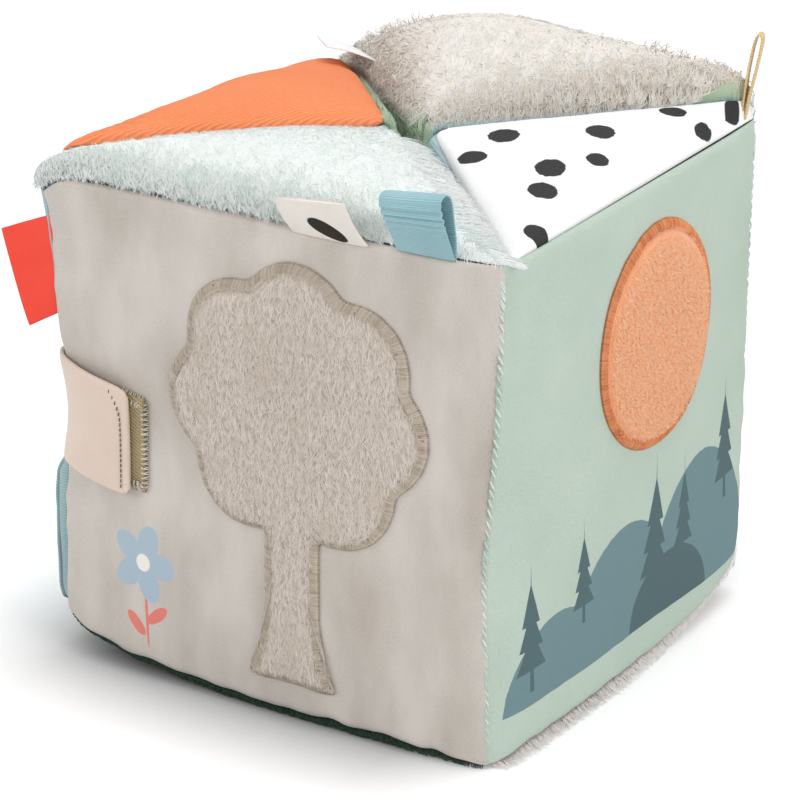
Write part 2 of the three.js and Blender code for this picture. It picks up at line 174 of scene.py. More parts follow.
def add_node(tree, kind, inputs=None, **settings):
    """A shader node with its settings and inputs: a socket is linked, and any other value is set."""
    made = tree.nodes.new(kind)
    for key, value in settings.items():
        setattr(made, key, value)
    for key, value in (inputs or {}).items():
        if isinstance(value, bpy.types.NodeSocket):
            tree.links.new(value, made.inputs[key])
        else:
            made.inputs[key].default_value = value
    return made


def calc(tree, operation, *values):
    """The output of a Math node."""
    made = add_node(tree, "ShaderNodeMath", dict(enumerate(values)), operation=operation)
    return made.outputs[0]


AMBIENT = 0.62  # the light from all round, where the backdrop that the camera sees is 1
LAMP_AIM = Vector((0, 0, 0.08))
FLOOR_TONE = 0.88
FLOOR_GLOW = 0.25  # how much the camera sees of the floor beyond the light it reflects
SHADE_REACH = 0.04  # how far from the cube's foot the floor is darker, in m
SHADE_END = {"From Min": 0.085, "From Max": 0.05}  # that shade fades towards the lamp on the right

world = bpy.data.worlds.new("studio")
bpy.context.scene.world = world
world.use_nodes = True
tree = world.node_tree
tree.nodes.clear()
path = add_node(tree, "ShaderNodeLightPath").outputs
seen = calc(tree, "MAXIMUM", path["Is Camera Ray"], path["Is Glossy Ray"])
strength = add_node(tree, "ShaderNodeMix", {0: seen, 2: AMBIENT, 3: 1.0}).outputs[0]
background = add_node(tree, "ShaderNodeBackground", {"Color": (1, 1, 1, 1), "Strength": strength})
add_node(tree, "ShaderNodeOutputWorld", {0: background.outputs[0]})


def add_softbox(name, place, size, watts):
    """A round lamp aimed at the cube, its place and its width in metres."""
    lamp = bpy.data.lights.new(name, "AREA")
    lamp.shape = "DISK"
    lamp.size = size
    lamp.energy = watts
    made = place_object(name, lamp)
    made.location = place
    made.rotation_euler = (LAMP_AIM - Vector(place)).to_track_quat("-Z", "Y").to_euler()


add_softbox("overhead", (0.15, 0.2, 1.25), 0.8, 5.6)
add_softbox("front_left", (-1.15, -1.05, 0.7), 0.6, 6.6)
add_softbox("right", (1.3, -0.45, 0.6), 0.6, 5.6)

floor_mesh = bmesh.new()
bmesh.ops.create_grid(floor_mesh, x_segments=1, y_segments=1, size=4.0)
floor = place_object("floor", mesh_of("floor", floor_mesh))
floor_paint = bpy.data.materials.new("floor_paint")
floor_paint.use_nodes = True
tree = floor_paint.node_tree
tree.nodes.clear()
place = add_node(tree, "ShaderNodeTexCoord").outputs["Object"]
place_x = add_node(tree, "ShaderNodeSeparateXYZ", {0: place}).outputs[0]
shaded = add_node(tree, "ShaderNodeMapRange", {"Value": place_x, **SHADE_END}).outputs[0]
around = add_node(tree, "ShaderNodeAmbientOcclusion", {"Distance": SHADE_REACH}, samples=12).outputs["AO"]
shade = calc(tree, "MULTIPLY", shaded, calc(tree, "SUBTRACT", 1.0, around))
tone, glow = (calc(tree, "MULTIPLY_ADD", shade, -most, most) for most in (FLOOR_TONE, FLOOR_GLOW))
diffuse = add_node(tree, "ShaderNodeBsdfDiffuse", {"Color": tone}).outputs[0]
glowing = add_node(tree, "ShaderNodeEmission", {"Color": (1, 1, 1, 1), "Strength": glow}).outputs[0]
lit = add_node(tree, "ShaderNodeAddShader", {0: diffuse, 1: glowing}).outputs[0]
seen = add_node(tree, "ShaderNodeLightPath").outputs["Is Camera Ray"]
mixed = add_node(tree, "ShaderNodeMixShader", {0: seen, 1: diffuse, 2: lit})
add_node(tree, "ShaderNodeOutputMaterial", {"Surface": mixed.outputs[0]})
floor.data.materials.append(floor_paint)

# Cushion covers. Each cushion is a wedge sewn from five panels of cloth round a fibre filling: one
# outer face, two inner faces that meet at the middle of the cube, a top and a bottom. The seams are
# turned inside, so each edge is round, with the seam drawn in along its middle.

APEX_ROUND = 6.0
TOP_ROUND = 4.0
BOTTOM_ROUND = 4.5
SEAM_HEIGHT = 2.0
FACE_CROWN = 3.5
APEX_RISE = 7.0  # how far the top seams climb towards the middle of the cube
GRID = 1.5  # spacing of a panel's mesh
SEAM_PINCH = 0.5  # how far a seam is drawn in
DROP_SPREAD = 3.5  # how far from its corner a dropped top seam has risen again
CAP_RINGS = 34
CAP_MIDDLE = np.array([0.0, -HALF + 30.0])
CLOTH_THICKNESS = 1.0
BACKING_THICKNESS = 0.4

# How each cushion is turned and stuffed. Pairs are for its left and its right end: the radius of the
# sharp upright corner, the angle from the outer face to the upright seam, how far each sharp corner is
# pushed out low down and at the top, how far the bottom seam rises broadly and lifts sharply there, how
# far the top seam drops, how far the corner swells out below the strap (roll), how far the top hangs
# over it (over) and peaks there, and how the inner top seams arch. Then how far the top swells, how far
# the foot of the face bows out, how much its bottom seam waves, how strong the face's puckers and dents
# and the top's ripples are, and its dimples (across, up, wide, tall, deep).
cushion_shapes = {
    "front": {
        "turns": 0, "tip": (2.2, 1.0), "seam": (22, 115), "push": (1.4, 0.8), "top_push": (8.2, 0.8),
        "rise": (11.0, 0.0), "lift": (6.0, 0.0), "drop": (23.0, 0.0), "peak": (7.0, 0.0),
        "peak_spread": 18.0, "over": (4.0, 0.0), "arch": (4.0, 1.5), "crown": 9.0,
        "bow": 5.6, "hem": 0.9, "pucker": 2.8, "dents": 2.0,
        "dimples": ((64, 128, 3.5, 13, 1.6), (50, 132, 4, 12, -1.2), (-30, 132, 5, 16, 1.4)),
    },
    "right": {
        "turns": 1, "tip": (1.0, 1.0), "seam": (115, 60), "push": (0.8, 1.5), "top_push": (0.8, 1.5),
        "rise": (0.0, 12.0), "lift": (0.0, 4.0), "arch": (-2.0, 2.5), "peak": (0.0, 7.0),
        "peak_spread": 32.0, "crown": 5.0, "bow": 5.0, "hem": 0.6,
        "pucker": 1.6, "dents": 1.2, "dimples": ((-69.5, 138, 4.5, 9, 2.6),),
    },
    "back": {
        "turns": 2, "tip": (1.0, 1.0), "seam": (60, 60), "push": (0.0, 0.0), "top_push": (0.0, 0.0),
        "rise": (12.0, 0.0), "lift": (4.0, 3.0), "peak": (20.0, 0.0), "peak_spread": 24.0,
        "arch": (1.0, 3.0), "crown": 25.0, "bow": 3.0,
    },
    "left": {
        "turns": 3, "tip": (1.0, 2.2), "seam": (60, 60), "push": (0.0, -0.5), "top_push": (0.0, -2.0),
        "rise": (0.0, 11.0), "lift": (3.0, 5.0), "drop": (0.0, 5.0), "roll": (0.0, 7.6),
        "peak": (0.0, 8.0), "peak_spread": 26.0,
        "arch": (3.0, 3.0), "crown": 9.5, "bow": 3.0, "serration": 0.7,
    },
}


def swell(share):
    return 1 - np.abs(share) ** 3


def apex_at(level):
    return -(0.5 + 5.0 * level**4)


def corner_arc(middle, radius, start, end, step=0.5):
    """Points and outward normals along an arc, its angles in degrees."""
    count = max(4, int(abs(math.radians(end - start)) * radius / step) + 1)
    angles = np.radians(np.linspace(start, end, count))
    normals = np.stack([np.cos(angles), np.sin(angles)], 1)
    return middle + radius * normals, normals


def travelled(run):
    """The distance along a run of points from its start to each of them."""
    return np.concatenate([[0], np.cumsum(np.linalg.norm(np.diff(run, axis=0), axis=1))])


def wall_outline(shape, wall):
    """A panel's run round the wedge's plan at half height: points, normals, share of the way, reach.

    The outer wall runs left to right, the right wall from its corner to the apex, and the left wall
    from the apex to its corner. The share runs from 0 to 1 along the wall, and reach is the largest
    round that the top and bottom edges can have there."""
    apex = np.array([0.0, apex_at(0.0)])
    slope = math.degrees(math.atan2(apex[1] + HALF, HALF))
    left_round, right_round = shape["tip"]
    back = 1 / math.tan(math.radians(slope / 2))
    left_tip = np.array([-HALF + back * left_round, -HALF + left_round])
    right_tip = np.array([HALF - back * right_round, -HALF + right_round])
    apex_middle = apex - np.array([0.0, APEX_ROUND / math.sin(math.radians(90 - slope))])
    left_seam, right_seam = shape["seam"]
    if wall == "outer":
        first = corner_arc(left_tip, left_round, -90 - left_seam, -90)
        last = corner_arc(right_tip, right_round, -90, -90 + right_seam)
        normal = np.array([0.0, -1.0])
    elif wall == "right":
        first = corner_arc(right_tip, right_round, -90 + right_seam, 90 - slope)
        last = corner_arc(apex_middle, APEX_ROUND, 90 - slope, 90)
        normal = first[1][-1]
    else:
        first = corner_arc(apex_middle, APEX_ROUND, 90, 90 + slope)
        last = corner_arc(left_tip, left_round, 90 + slope, 270 - left_seam)
        normal = first[1][-1]
    run = last[0][0] - first[0][-1]
    count = int(np.linalg.norm(run) / GRID)
    steps = (np.arange(1, count) / count)[:, None]
    straight = first[0][-1] + steps * run
    points = np.concatenate([first[0], straight, last[0]])
    normals = np.concatenate([first[1], np.repeat(normal[None], count - 1, 0), last[1]])
    share = travelled(points)
    share /= share[-1]
    reach = np.minimum(
        *(
            0.7 * tip_round + 0.3 * (np.linalg.norm(points - tip, axis=1) - tip_round)
            for tip, tip_round in ((left_tip, left_round), (right_tip, right_round))
        )
    )
    return points, normals, share, reach


def along_apex(wall, share):
    """How far a wall point is towards the apex, from 0 to 1."""
    if wall == "outer":
        return np.zeros_like(share)
    return share if wall == "right" else 1 - share


def arch_share(towards):
    return np.sin(math.pi * np.clip(towards, 0, 1) ** 0.7)


def near_corners(shape, kind, plan, spread):
    """A change that is largest at the wedge's two sharp corners, and fades over a spread in mm."""
    change = 0.0
    for side, amount in zip((-1, 1), shape.get(kind, (0.0, 0.0))):
        away = np.hypot(plan[..., 0] - side * HALF, plan[..., 1] + HALF)
        change = change + amount * np.exp(-away / spread)
    return change


def seam_rise(shape, plan):
    """How far the bottom seam is above its flat place: lifted at the corners, and wavy."""
    wave = noise_at(np.stack([plan[..., 0], plan[..., 1], 0 * plan[..., 0]], -1), 7.0, 8 + shape["turns"])
    return (
        near_corners(shape, "rise", plan, 22.0) + near_corners(shape, "lift", plan, 4.0)
        + shape.get("hem", 0.3) * wave
    )


def corner_peak(shape, plan):
    """How far a top stands up beside a sharp corner, rising steeply from its outer seam."""
    inside = np.clip(plan[..., 1] + HALF, 0, None)
    return near_corners(shape, "peak", plan, shape.get("peak_spread", 20.0)) * (1 - np.exp(-inside / 2.5))


def corner_roll(shape, plan, height):
    """How far a sharp corner swells out over the seam, between the floor and the strap."""
    ease = np.clip((height - 5) / 14, 0, 1) * np.clip((66 - height) / 12, 0, 1)
    return near_corners(shape, "roll", plan, 8.0) * ease * ease * (3 - 2 * ease)


def pushed(shape, plan, level):
    """Plan points with the wedge's sharp corners pushed out along the face."""
    high = np.clip((1 + level) / 2, 0, 1) ** 5
    (low_left, low_right), (top_left, top_right) = shape["push"], shape["top_push"]
    left_push = low_left + (top_left - low_left) * high
    right_push = low_right + (top_right - low_right) * high
    across = plan[..., 0] / HALF
    ease = np.clip((np.abs(across) - 0.7) / 0.3, 0, 1.2) ** 2
    moved = plan.copy()
    moved[..., 0] += np.where(across < 0, -left_push, right_push) * ease
    return moved


def turned(points, turns):
    """Local wedge points turned to their side of the cube."""
    angle = turns * math.pi / 2
    cos, sin = round(math.cos(angle)), round(math.sin(angle))
    x, y, z = np.moveaxis(np.asarray(points, float), -1, 0)
    return np.stack([cos * x - sin * y, sin * x + cos * y, z], -1)


def noise_at(points, size, seed):
    """Smooth noise from -1 to 1 at each point, with features of a size in mm, or of a size each way."""
    shifted = np.asarray(points, float).reshape(-1, 3) / size + np.array([17.3, 5.1, 9.7]) * seed
    values = np.array([noise.noise(Vector(p)) for p in shifted])
    return values.reshape(np.shape(points)[:-1])


def foot_bow(shape, across, height=SEAM_HEIGHT):
    """How far the foot of an outer face bows out, nearly as far at its ends as in its middle."""
    low = np.exp(-np.clip(height - SEAM_HEIGHT, 0, None) / 30)
    return shape["bow"] * low * (1 - np.clip(np.abs(across / HALF), 0, 1) ** 10)


def bulge(shape, across, height):
    """How far an outer face stands out from flat, in mm."""
    level = np.clip(2 * height / CUBE_HEIGHT - 1, -1, 1)
    return swell(across / HALF) * FACE_CROWN * swell(level) + foot_bow(shape, across, height)


def face_wrinkles(shape, across, height):
    """Small folds of an outer face: puckers under its seams, and broad dents in the middle."""
    seed = 3 + shape["turns"]
    at = np.stack([across, height, np.full(np.shape(across), seed * 31.0)], -1)
    top, low = CUBE_HEIGHT - height, height - SEAM_HEIGHT
    side = HALF - np.abs(across)
    puckers = 0.8 * noise_at(at, np.array([5.5, 70.0, 50.0]), seed) * np.exp(-top / 16)
    puckers += 0.7 * noise_at(at, np.array([7.0, 60.0, 50.0]), seed + 1) * np.exp(-low / 12)
    puckers += 0.35 * noise_at(at, np.array([60.0, 6.0, 50.0]), seed + 2) * np.exp(-side / 10)
    broad = 0.9 * noise_at(at, np.array([30.0, 48.0, 50.0]), seed + 3)
    folds = puckers * shape.get("pucker", 1.0) + broad * shape.get("dents", 0.6)
    for x, z, wide, tall, deep in shape.get("dimples", ()):
        folds = folds - deep * np.exp(-(((across - x) / wide) ** 2) - ((height - z) / tall) ** 2)
    return folds


def on_face(cushion, across, height, out=0.0):
    """Places on, or a little off, a cushion's outer face, in mm, before the cube has settled."""
    shape = cushion_shapes[cushion]
    across, height = np.asarray(across, float), np.asarray(height, float)
    stands = bulge(shape, across, height) + face_wrinkles(shape, across, height) + out
    return turned(np.stack([across, -HALF - stands, height], -1), shape["turns"])


def edge_roll(radius, rows):
    """Rows over a round edge: distance from the sharp edge along the face, and depth under it."""
    angles = np.radians(np.linspace(45, 0, rows))[:, None]
    pinch = SEAM_PINCH * np.exp(-np.arange(rows) / 1.2)[:, None]
    return radius[None] * (1 - np.sin(angles)) + pinch, radius[None] * (1 - np.cos(angles)) + pinch


def new_piece(name, made):
    """A finished bmesh, in millimetres from the cube's middle, as an object in the row frame."""
    data = mesh_of(name, made)
    places = np.empty(len(data.vertices) * 3)
    data.vertices.foreach_get("co", places)
    data.vertices.foreach_set("co", in_row(settled(places.reshape(-1, 3))).ravel())
    data.shade_smooth()
    return place_object(name, data)


def grid_sheet(places, flat):
    """A grid of cloth: places and flat positions are arrays of (rows, columns) points."""
    rows, columns = places.shape[:2]
    made = bmesh.new()
    bmesh.ops.create_grid(made, x_segments=columns - 1, y_segments=rows - 1, size=0.5)
    made.verts.ensure_lookup_table()
    cloth = made.loops.layers.uv.new("cloth")
    for vert in made.verts:
        column = round((vert.co.x + 0.5) * (columns - 1))
        row = round((vert.co.y + 0.5) * (rows - 1))
        vert.index = row * columns + column
    for face in made.faces:
        for loop in face.loops:
            loop[cloth].uv = flat.reshape(-1, 2)[loop.vert.index]
    for vert in made.verts:
        vert.co = places.reshape(-1, 3)[vert.index]
    return made


def wall_panel(cushion, wall):
    """The grid of a wall panel, with its wrinkles."""
    shape = cushion_shapes[cushion]
    points, normals, share, reach = wall_outline(shape, wall)
    columns = len(points)
    towards = along_apex(wall, share)
    top_round = np.minimum(TOP_ROUND, reach)
    bottom_round = np.minimum(BOTTOM_ROUND, reach)
    top_run, top_depth = edge_roll(top_round, 6)
    low_run, low_depth = edge_roll(bottom_round, 7)
    arch = {"outer": 0.0, "left": shape["arch"][0], "right": shape["arch"][1]}[wall]
    top = CUBE_HEIGHT + APEX_RISE * towards**1.3 + arch * arch_share(towards)
    top = top + corner_peak(shape, points) - near_corners(shape, "drop", points, DROP_SPREAD)
    low = SEAM_HEIGHT + seam_rise(shape, points)
    middle_rows = int((CUBE_HEIGHT - TOP_ROUND - BOTTOM_ROUND) / GRID)
    steps = (np.arange(1, middle_rows) / middle_rows)[:, None]
    start, end = low + low_run[-1], top - top_run[-1]
    height = np.concatenate([low + low_run, start + steps * (end - start), (top - top_run)[::-1]])
    depth = np.concatenate([low_depth, np.zeros((middle_rows - 1, columns)), top_depth[::-1]])
    level = 2 * (height - height[0]) / (height[-1] - height[0]) - 1
    flat = np.stack([np.broadcast_to((share - 0.5) * 2 * HALF, height.shape), height], -1)
    across = np.broadcast_to(points[:, 0], height.shape)
    fade = 1 - level**12
    if wall == "outer":
        depth = depth - bulge(shape, across, height) - face_wrinkles(shape, across, height) * fade
    else:
        at = np.stack([flat[..., 0], height, np.full(height.shape, 40.0 + len(wall))], -1)
        depth = depth - 0.5 * noise_at(at, 14.0, shape["turns"]) * fade
    plan = points[None] - normals[None] * depth[..., None]
    plan[..., 1] += towards * (apex_at(level) - apex_at(0.0)) - corner_roll(shape, points, height)
    places = np.concatenate([pushed(shape, plan, level), height[..., None]], -1)
    return grid_sheet(turned(places, shape["turns"]), flat)


def cap_panel(cushion, upwards):
    """The grid of a top or bottom panel, ring after ring from its seam to its middle."""
    shape = cushion_shapes[cushion]
    runs = [wall_outline(shape, wall) for wall in ("outer", "right", "left")]
    walls = np.concatenate([[n] * len(run[0]) for n, run in enumerate(runs)])
    points, normals, share, reach = (np.concatenate([run[n] for run in runs]) for n in range(4))
    towards = np.where(walls == 0, 0.0, np.where(walls == 1, share, 1 - share))
    level = np.float64(1.0 if upwards else -1.0)
    edge_round = np.minimum(TOP_ROUND if upwards else BOTTOM_ROUND, reach)
    run, depth = edge_roll(edge_round, 6)
    plan = points[None] - normals[None] * run[..., None]
    plan[..., 1] += towards * (apex_at(level) - apex_at(0.0))
    inward = (np.arange(1, CAP_RINGS + 1) / CAP_RINGS)[:, None, None]
    rim = np.concatenate([points[None] + 0 * plan, points + (CAP_MIDDLE - points) * inward])
    plan = np.concatenate([plan, plan[-1] + (CAP_MIDDLE - plan[-1]) * inward])
    drop = np.concatenate([depth, np.zeros((CAP_RINGS, len(points)))])
    apex_y = apex_at(level)
    c = np.clip((plan[..., 1] + HALF) / (apex_y + HALF), 0, 1)
    across = plan[..., 0] / (2 * HALF)
    a, b = np.clip((1 - c) / 2 - across, 0, 1), np.clip((1 - c) / 2 + across, 0, 1)
    hem, side_hem = (0.025, 0.0175) if upwards else (0.04, 0.028)
    # The three shares of a place sum to 1, so 27 times their product is 1 in the middle.
    lift = 27 * np.clip(a - side_hem, 0, 1) * np.clip(b - side_hem, 0, 1) * np.clip(c - hem, 0, 1)
    flat = plan.copy()
    if upwards:
        arch = (shape["arch"][0] * a + shape["arch"][1] * b) / (a + b + 1e-6) * arch_share(c)
        height = CUBE_HEIGHT + APEX_RISE * c**1.3 + arch - drop + shape["crown"] * lift**0.5
        height = height + corner_peak(shape, rim) - near_corners(shape, "drop", rim, DROP_SPREAD)
        over = near_corners(shape, "over", rim, 7.0) * np.sign(plan[..., 0])
        plan[..., 0] += over * np.sin(math.pi * np.clip((height - CUBE_HEIGHT + 14) / 22, 0, 1))
        at = np.concatenate([flat, np.full(height.shape + (1,), 60.0 + shape["turns"])], -1)
        height = height + 1.2 * noise_at(at, 26.0, 5) * np.clip(lift * 3, 0, 1)
        edge = lift * 9 * np.exp(1 - lift * 9)
        height = height + shape.get("serration", 0.12) * noise_at(at, 3.6, 6) * edge
    else:
        plan[..., 1] -= foot_bow(shape, plan[..., 0]) * (1 - c) ** 2
        belly = SEAM_HEIGHT + drop - (SEAM_HEIGHT + 2.0) * np.clip(lift, 0, 1) ** 0.35
        height = np.maximum(belly + seam_rise(shape, rim), 0)
    places = np.concatenate([pushed(shape, plan, level), height[..., None]], -1)
    made = grid_sheet(turned(places, shape["turns"]), flat)
    bmesh.ops.remove_doubles(made, verts=made.verts, dist=0.02)
    if not upwards:
        bmesh.ops.reverse_faces(made, faces=made.faces)
    return made


def filling_piece(cushion, body):
    """The fibre filling of a cushion, soft and a little smaller than its cover. The cover rides on it."""
    made = bmesh.new()
    made.from_mesh(frame["nodes"][cushion + "_stuffing"].data)
    bmesh.ops.remove_doubles(made, verts=made.verts, dist=1e-5)
    bmesh.ops.subdivide_edges(made, edges=made.edges, cuts=1, use_grid_fill=True)
    for _ in range(12):
        bmesh.ops.smooth_vert(
            made, verts=made.verts, factor=0.5, use_axis_x=True, use_axis_y=True, use_axis_z=True
        )
    filling = place_object(cushion + "_filling", mesh_of(cushion + "_filling", made))
    filling.data.shade_smooth()
    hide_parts(cushion + "_stuffing")
    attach(filling, body)
    return filling


fillings = {cushion: filling_piece(cushion, cushion + "_cushion") for cushion in cushion_shapes}


def paint(code):
    """A colour written as six hexadecimal digits, as the linear colour that a shader takes."""
    parts = [int(code[n : n + 2], 16) / 255 for n in (0, 2, 4)]
    return (*(p / 12.92 if p <= 0.04045 else ((p + 0.055) / 1.055) ** 2.4 for p in parts), 1)


def effect(name, takes, gives):
    """An empty node group: its tree, its input sockets and its output sockets, each by name."""
    tree = bpy.data.node_groups.new(name, "ShaderNodeTree")
    for label, kind, value in takes:
        socket = tree.interface.new_socket(label, in_out="INPUT", socket_type="NodeSocket" + kind)
        if value is not None:
            socket.default_value = value
    for label in gives:
        tree.interface.new_socket(label, in_out="OUTPUT", socket_type="NodeSocketFloat")
    return tree, tree.nodes.new("NodeGroupInput").outputs, tree.nodes.new("NodeGroupOutput").inputs


def split(tree, place):
    """The three parts of a vector."""
    return add_node(tree, "ShaderNodeSeparateXYZ", {0: place}).outputs


def cloud(tree, place, scale, detail=2.0):
    """Noise from 0 to 1."""
    takes = {"Vector": place, "Scale": scale, "Detail": detail}
    return add_node(tree, "ShaderNodeTexNoise", takes).outputs[0]


def applied(tree, group, takes):
    """The output of an effect in a tree."""
    return add_node(tree, "ShaderNodeGroup", takes, node_tree=group).outputs[0]


def maths(tree):
    """Calc for one tree."""
    return lambda operation, *values: calc(tree, operation, *values)


def apart(tree, place, start):
    """The vector from a start to a place."""
    return add_node(tree, "ShaderNodeVectorMath", {0: place, 1: start}, operation="SUBTRACT").outputs[0]


def crisp(tree, inside):
    """A mask with a crisp edge: 1 where a distance in mm is inside a shape."""
    return add_node(tree, "ShaderNodeClamp", {0: calc(tree, "MULTIPLY_ADD", inside, 5.0, 0.5)}).outputs[0]


# Plain weave: threads of one width pass over and under each other. Height runs from 0 to 1.
woven_cloth, takes, gives = effect(
    "woven_cloth", [("Place", "Vector", None), ("Thread", "Float", 0.4)], ["Height"]
)
do = maths(woven_cloth)
across, along = (do("DIVIDE", part, takes["Thread"]) for part in split(woven_cloth, takes["Place"])[:2])
warp, weft = (do("ABSOLUTE", do("SINE", do("MULTIPLY", part, math.pi))) for part in (across, along))
crossing = do("PINGPONG", do("ADD", do("FLOOR", across), do("FLOOR", along)), 1.0)
over = add_node(woven_cloth, "ShaderNodeMix", {0: crossing, 2: warp, 3: weft}).outputs[0]
slub = cloud(woven_cloth, takes["Place"], 1.7)
woven_cloth.links.new(do("MULTIPLY", over, do("ADD", slub, 0.4)), gives["Height"])

# Ribbed cloth: straight ribs at one pitch, lying at an angle, slightly uneven.
ribbed_cloth, takes, gives = effect(
    "ribbed_cloth",
    [("Place", "Vector", None), ("Pitch", "Float", 1.0), ("Angle", "Float", 0.0), ("Uneven", "Float", 0.2)],
    ["Height"],
)
do = maths(ribbed_cloth)
across, along, _ = split(ribbed_cloth, takes["Place"])
over = do("MULTIPLY", across, do("COSINE", takes["Angle"]))
run = do("ADD", over, do("MULTIPLY", along, do("SINE", takes["Angle"])))
drift = do("MULTIPLY", cloud(ribbed_cloth, takes["Place"], 0.6), takes["Uneven"])
turns = do("MULTIPLY", do("DIVIDE", do("ADD", run, drift), takes["Pitch"]), 2 * math.pi)
ribbed_cloth.links.new(do("MULTIPLY_ADD", do("SINE", turns), 0.5, 0.5), gives["Height"])

# Colour variation of cloth: broad faded patches with a fine heather of threads. Tone is about 0.5.
cloth_tone, takes, gives = effect(
    "cloth_tone", [("Place", "Vector", None), ("Size", "Float", 30.0)], ["Tone"]
)
do = maths(cloth_tone)
broad = cloud(cloth_tone, takes["Place"], do("DIVIDE", 1.0, takes["Size"]), 3.0)
fine = cloud(cloth_tone, takes["Place"], do("DIVIDE", 40.0, takes["Size"]), 1.0)
cloth_tone.links.new(do("MULTIPLY_ADD", broad, 0.6, do("MULTIPLY", fine, 0.4)), gives["Tone"])

# A printed oval with a slightly ragged edge. Mask is 1 on the ink.
ink_oval, takes, gives = effect(
    "ink_oval",
    [
        ("Place", "Vector", None), ("Middle", "Vector", None), ("Half Width", "Float", 5.0),
        ("Half Height", "Float", 5.0), ("Turn", "Float", 0.0), ("Ragged", "Float", 0.1),
    ],
    ["Mask"],
)
do = maths(ink_oval)
away = apart(ink_oval, takes["Place"], takes["Middle"])
away = add_node(
    ink_oval, "ShaderNodeVectorRotate", {"Vector": away, "Angle": takes["Turn"]}, rotation_type="Z_AXIS"
).outputs[0]
across, along, _ = split(ink_oval, away)
across, along = do("DIVIDE", across, takes["Half Width"]), do("DIVIDE", along, takes["Half Height"])
reach = do("SQRT", do("ADD", do("MULTIPLY", across, across), do("MULTIPLY", along, along)))
ragged = do("MULTIPLY", do("SUBTRACT", cloud(ink_oval, takes["Place"], 0.5, 6.0), 0.5), takes["Ragged"])
inside = do("MULTIPLY", do("SUBTRACT", 1.0, do("ADD", reach, ragged)), takes["Half Height"])
ink_oval.links.new(crisp(ink_oval, inside), gives["Mask"])


def blend_paint(tree, mask, first, second):
    """The colour socket of a mix from the first colour to the second."""
    return add_node(tree, "ShaderNodeMix", {0: mask, 6: first, 7: second}, data_type="RGBA").outputs[2]


def oval_ink(tree, place, ovals, ragged=0.1):
    """The joint mask of several printed ovals: middle x and y, half width, half height, turn in degrees."""
    mask = None
    for x, y, wide, tall, turn in ovals:
        takes = {
            "Place": place, "Middle": (x, y, 0), "Half Width": wide, "Half Height": tall,
            "Turn": math.radians(-turn), "Ragged": ragged,
        }
        oval = applied(tree, ink_oval, takes)
        mask = oval if mask is None else calc(tree, "MAXIMUM", mask, oval)
    return mask


def new_finish(name, roughness, gloss):
    """A new material, its tree and its shader."""
    made = bpy.data.materials.new(name)
    made.use_nodes = True
    shader = made.node_tree.nodes["Principled BSDF"]
    shader.inputs["Roughness"].default_value = roughness
    shader.inputs["Specular IOR Level"].default_value = gloss
    return made, made.node_tree, shader


def add_relief(tree, shader, height, strength, distance):
    """A bump on a shader, its distance in metres."""
    lift = add_node(tree, "ShaderNodeBump", {"Height": height, "Strength": strength, "Distance": distance})
    tree.links.new(lift.outputs[0], shader.inputs["Normal"])


def cloth_finish(
    name, dark, light, thread=0.45, ribs=None, roughness=0.85, sheen=0.0, bump=0.2, ink=None, size=30.0,
    folds=0.0,
):
    """A cloth material: dark and light are its colour in the hollows and on the threads, so the hollows
    carry painted shade.

    Thread is the width of a thread or a rib in mm, ribs the angle of the ribs, size that of the faded
    patches, and folds how much painted shade of broad slanting folds lightens and darkens the tone."""
    made, tree, shader = new_finish(name, roughness, 0.3)
    place = add_node(tree, "ShaderNodeUVMap", uv_map="cloth").outputs[0]
    if ribs is None:
        relief = applied(tree, woven_cloth, {"Place": place, "Thread": thread})
    else:
        relief = applied(tree, ribbed_cloth, {"Place": place, "Pitch": thread, "Angle": math.radians(ribs)})
    tone = applied(tree, cloth_tone, {"Place": place, "Size": size})
    # Painted shade: the colour is darker in the hollows of the threads' relief, over the cloth's own faded
    # tone.
    share = calc(tree, "MULTIPLY_ADD", relief, 0.4, calc(tree, "MULTIPLY", tone, 0.9))
    # Painted fold shade: broad slanting streaks lighten and darken the colour, as folds would be lit and
    # shaded.
    if folds:
        drawn = {"Vector": place, "Rotation": (0, 0, 0.5), "Scale": (0.05, 0.022, 1)}
        painted_fold_shade = cloud(tree, add_node(tree, "ShaderNodeMapping", drawn).outputs[0], 1.0, 3.0)
        share = calc(tree, "ADD", share, calc(tree, "MULTIPLY_ADD", painted_fold_shade, 2 * folds, -folds))
    colour = blend_paint(tree, share, paint(dark), paint(light))
    if ink is not None:
        colour = ink(tree, place, colour)
    tree.links.new(colour, shader.inputs["Base Color"])
    shader.inputs["Sheen Weight"].default_value = sheen
    add_relief(tree, shader, relief, bump, 0.0003)
    return made


def thicken(piece, thickness):
    """Gives a sheet its thickness in mm, inwards."""
    wall = piece.modifiers.new("thickness", "SOLIDIFY")
    wall.thickness = thickness * MM
    wall.offset = -1


def sew(piece, finish, parent, node):
    """Gives a piece its material and its parent, if any, and hides the node that it stands for."""
    piece.data.materials.append(finish)
    if parent is not None:
        piece.parent = parent
    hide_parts(node)
    return piece


def dress(cushion, side, finish):
    """Sews one panel of a cover on its filling."""
    if side in ("top", "bottom"):
        made, node = cap_panel(cushion, side == "top"), f"{cushion}_{side}_panel"
    else:
        made = wall_panel(cushion, side)
        node = cushion + ("_outer_panel" if side == "outer" else f"_inner_{side}_panel")
    panel = new_piece(f"{cushion}_{side}_cover", made)
    thicken(panel, CLOTH_THICKNESS)
    return sew(panel, finish, fillings[cushion], node)


# Front face: thin greige satin with a soft sheen. A small flower is printed in its lower left corner,
# in flat inks.


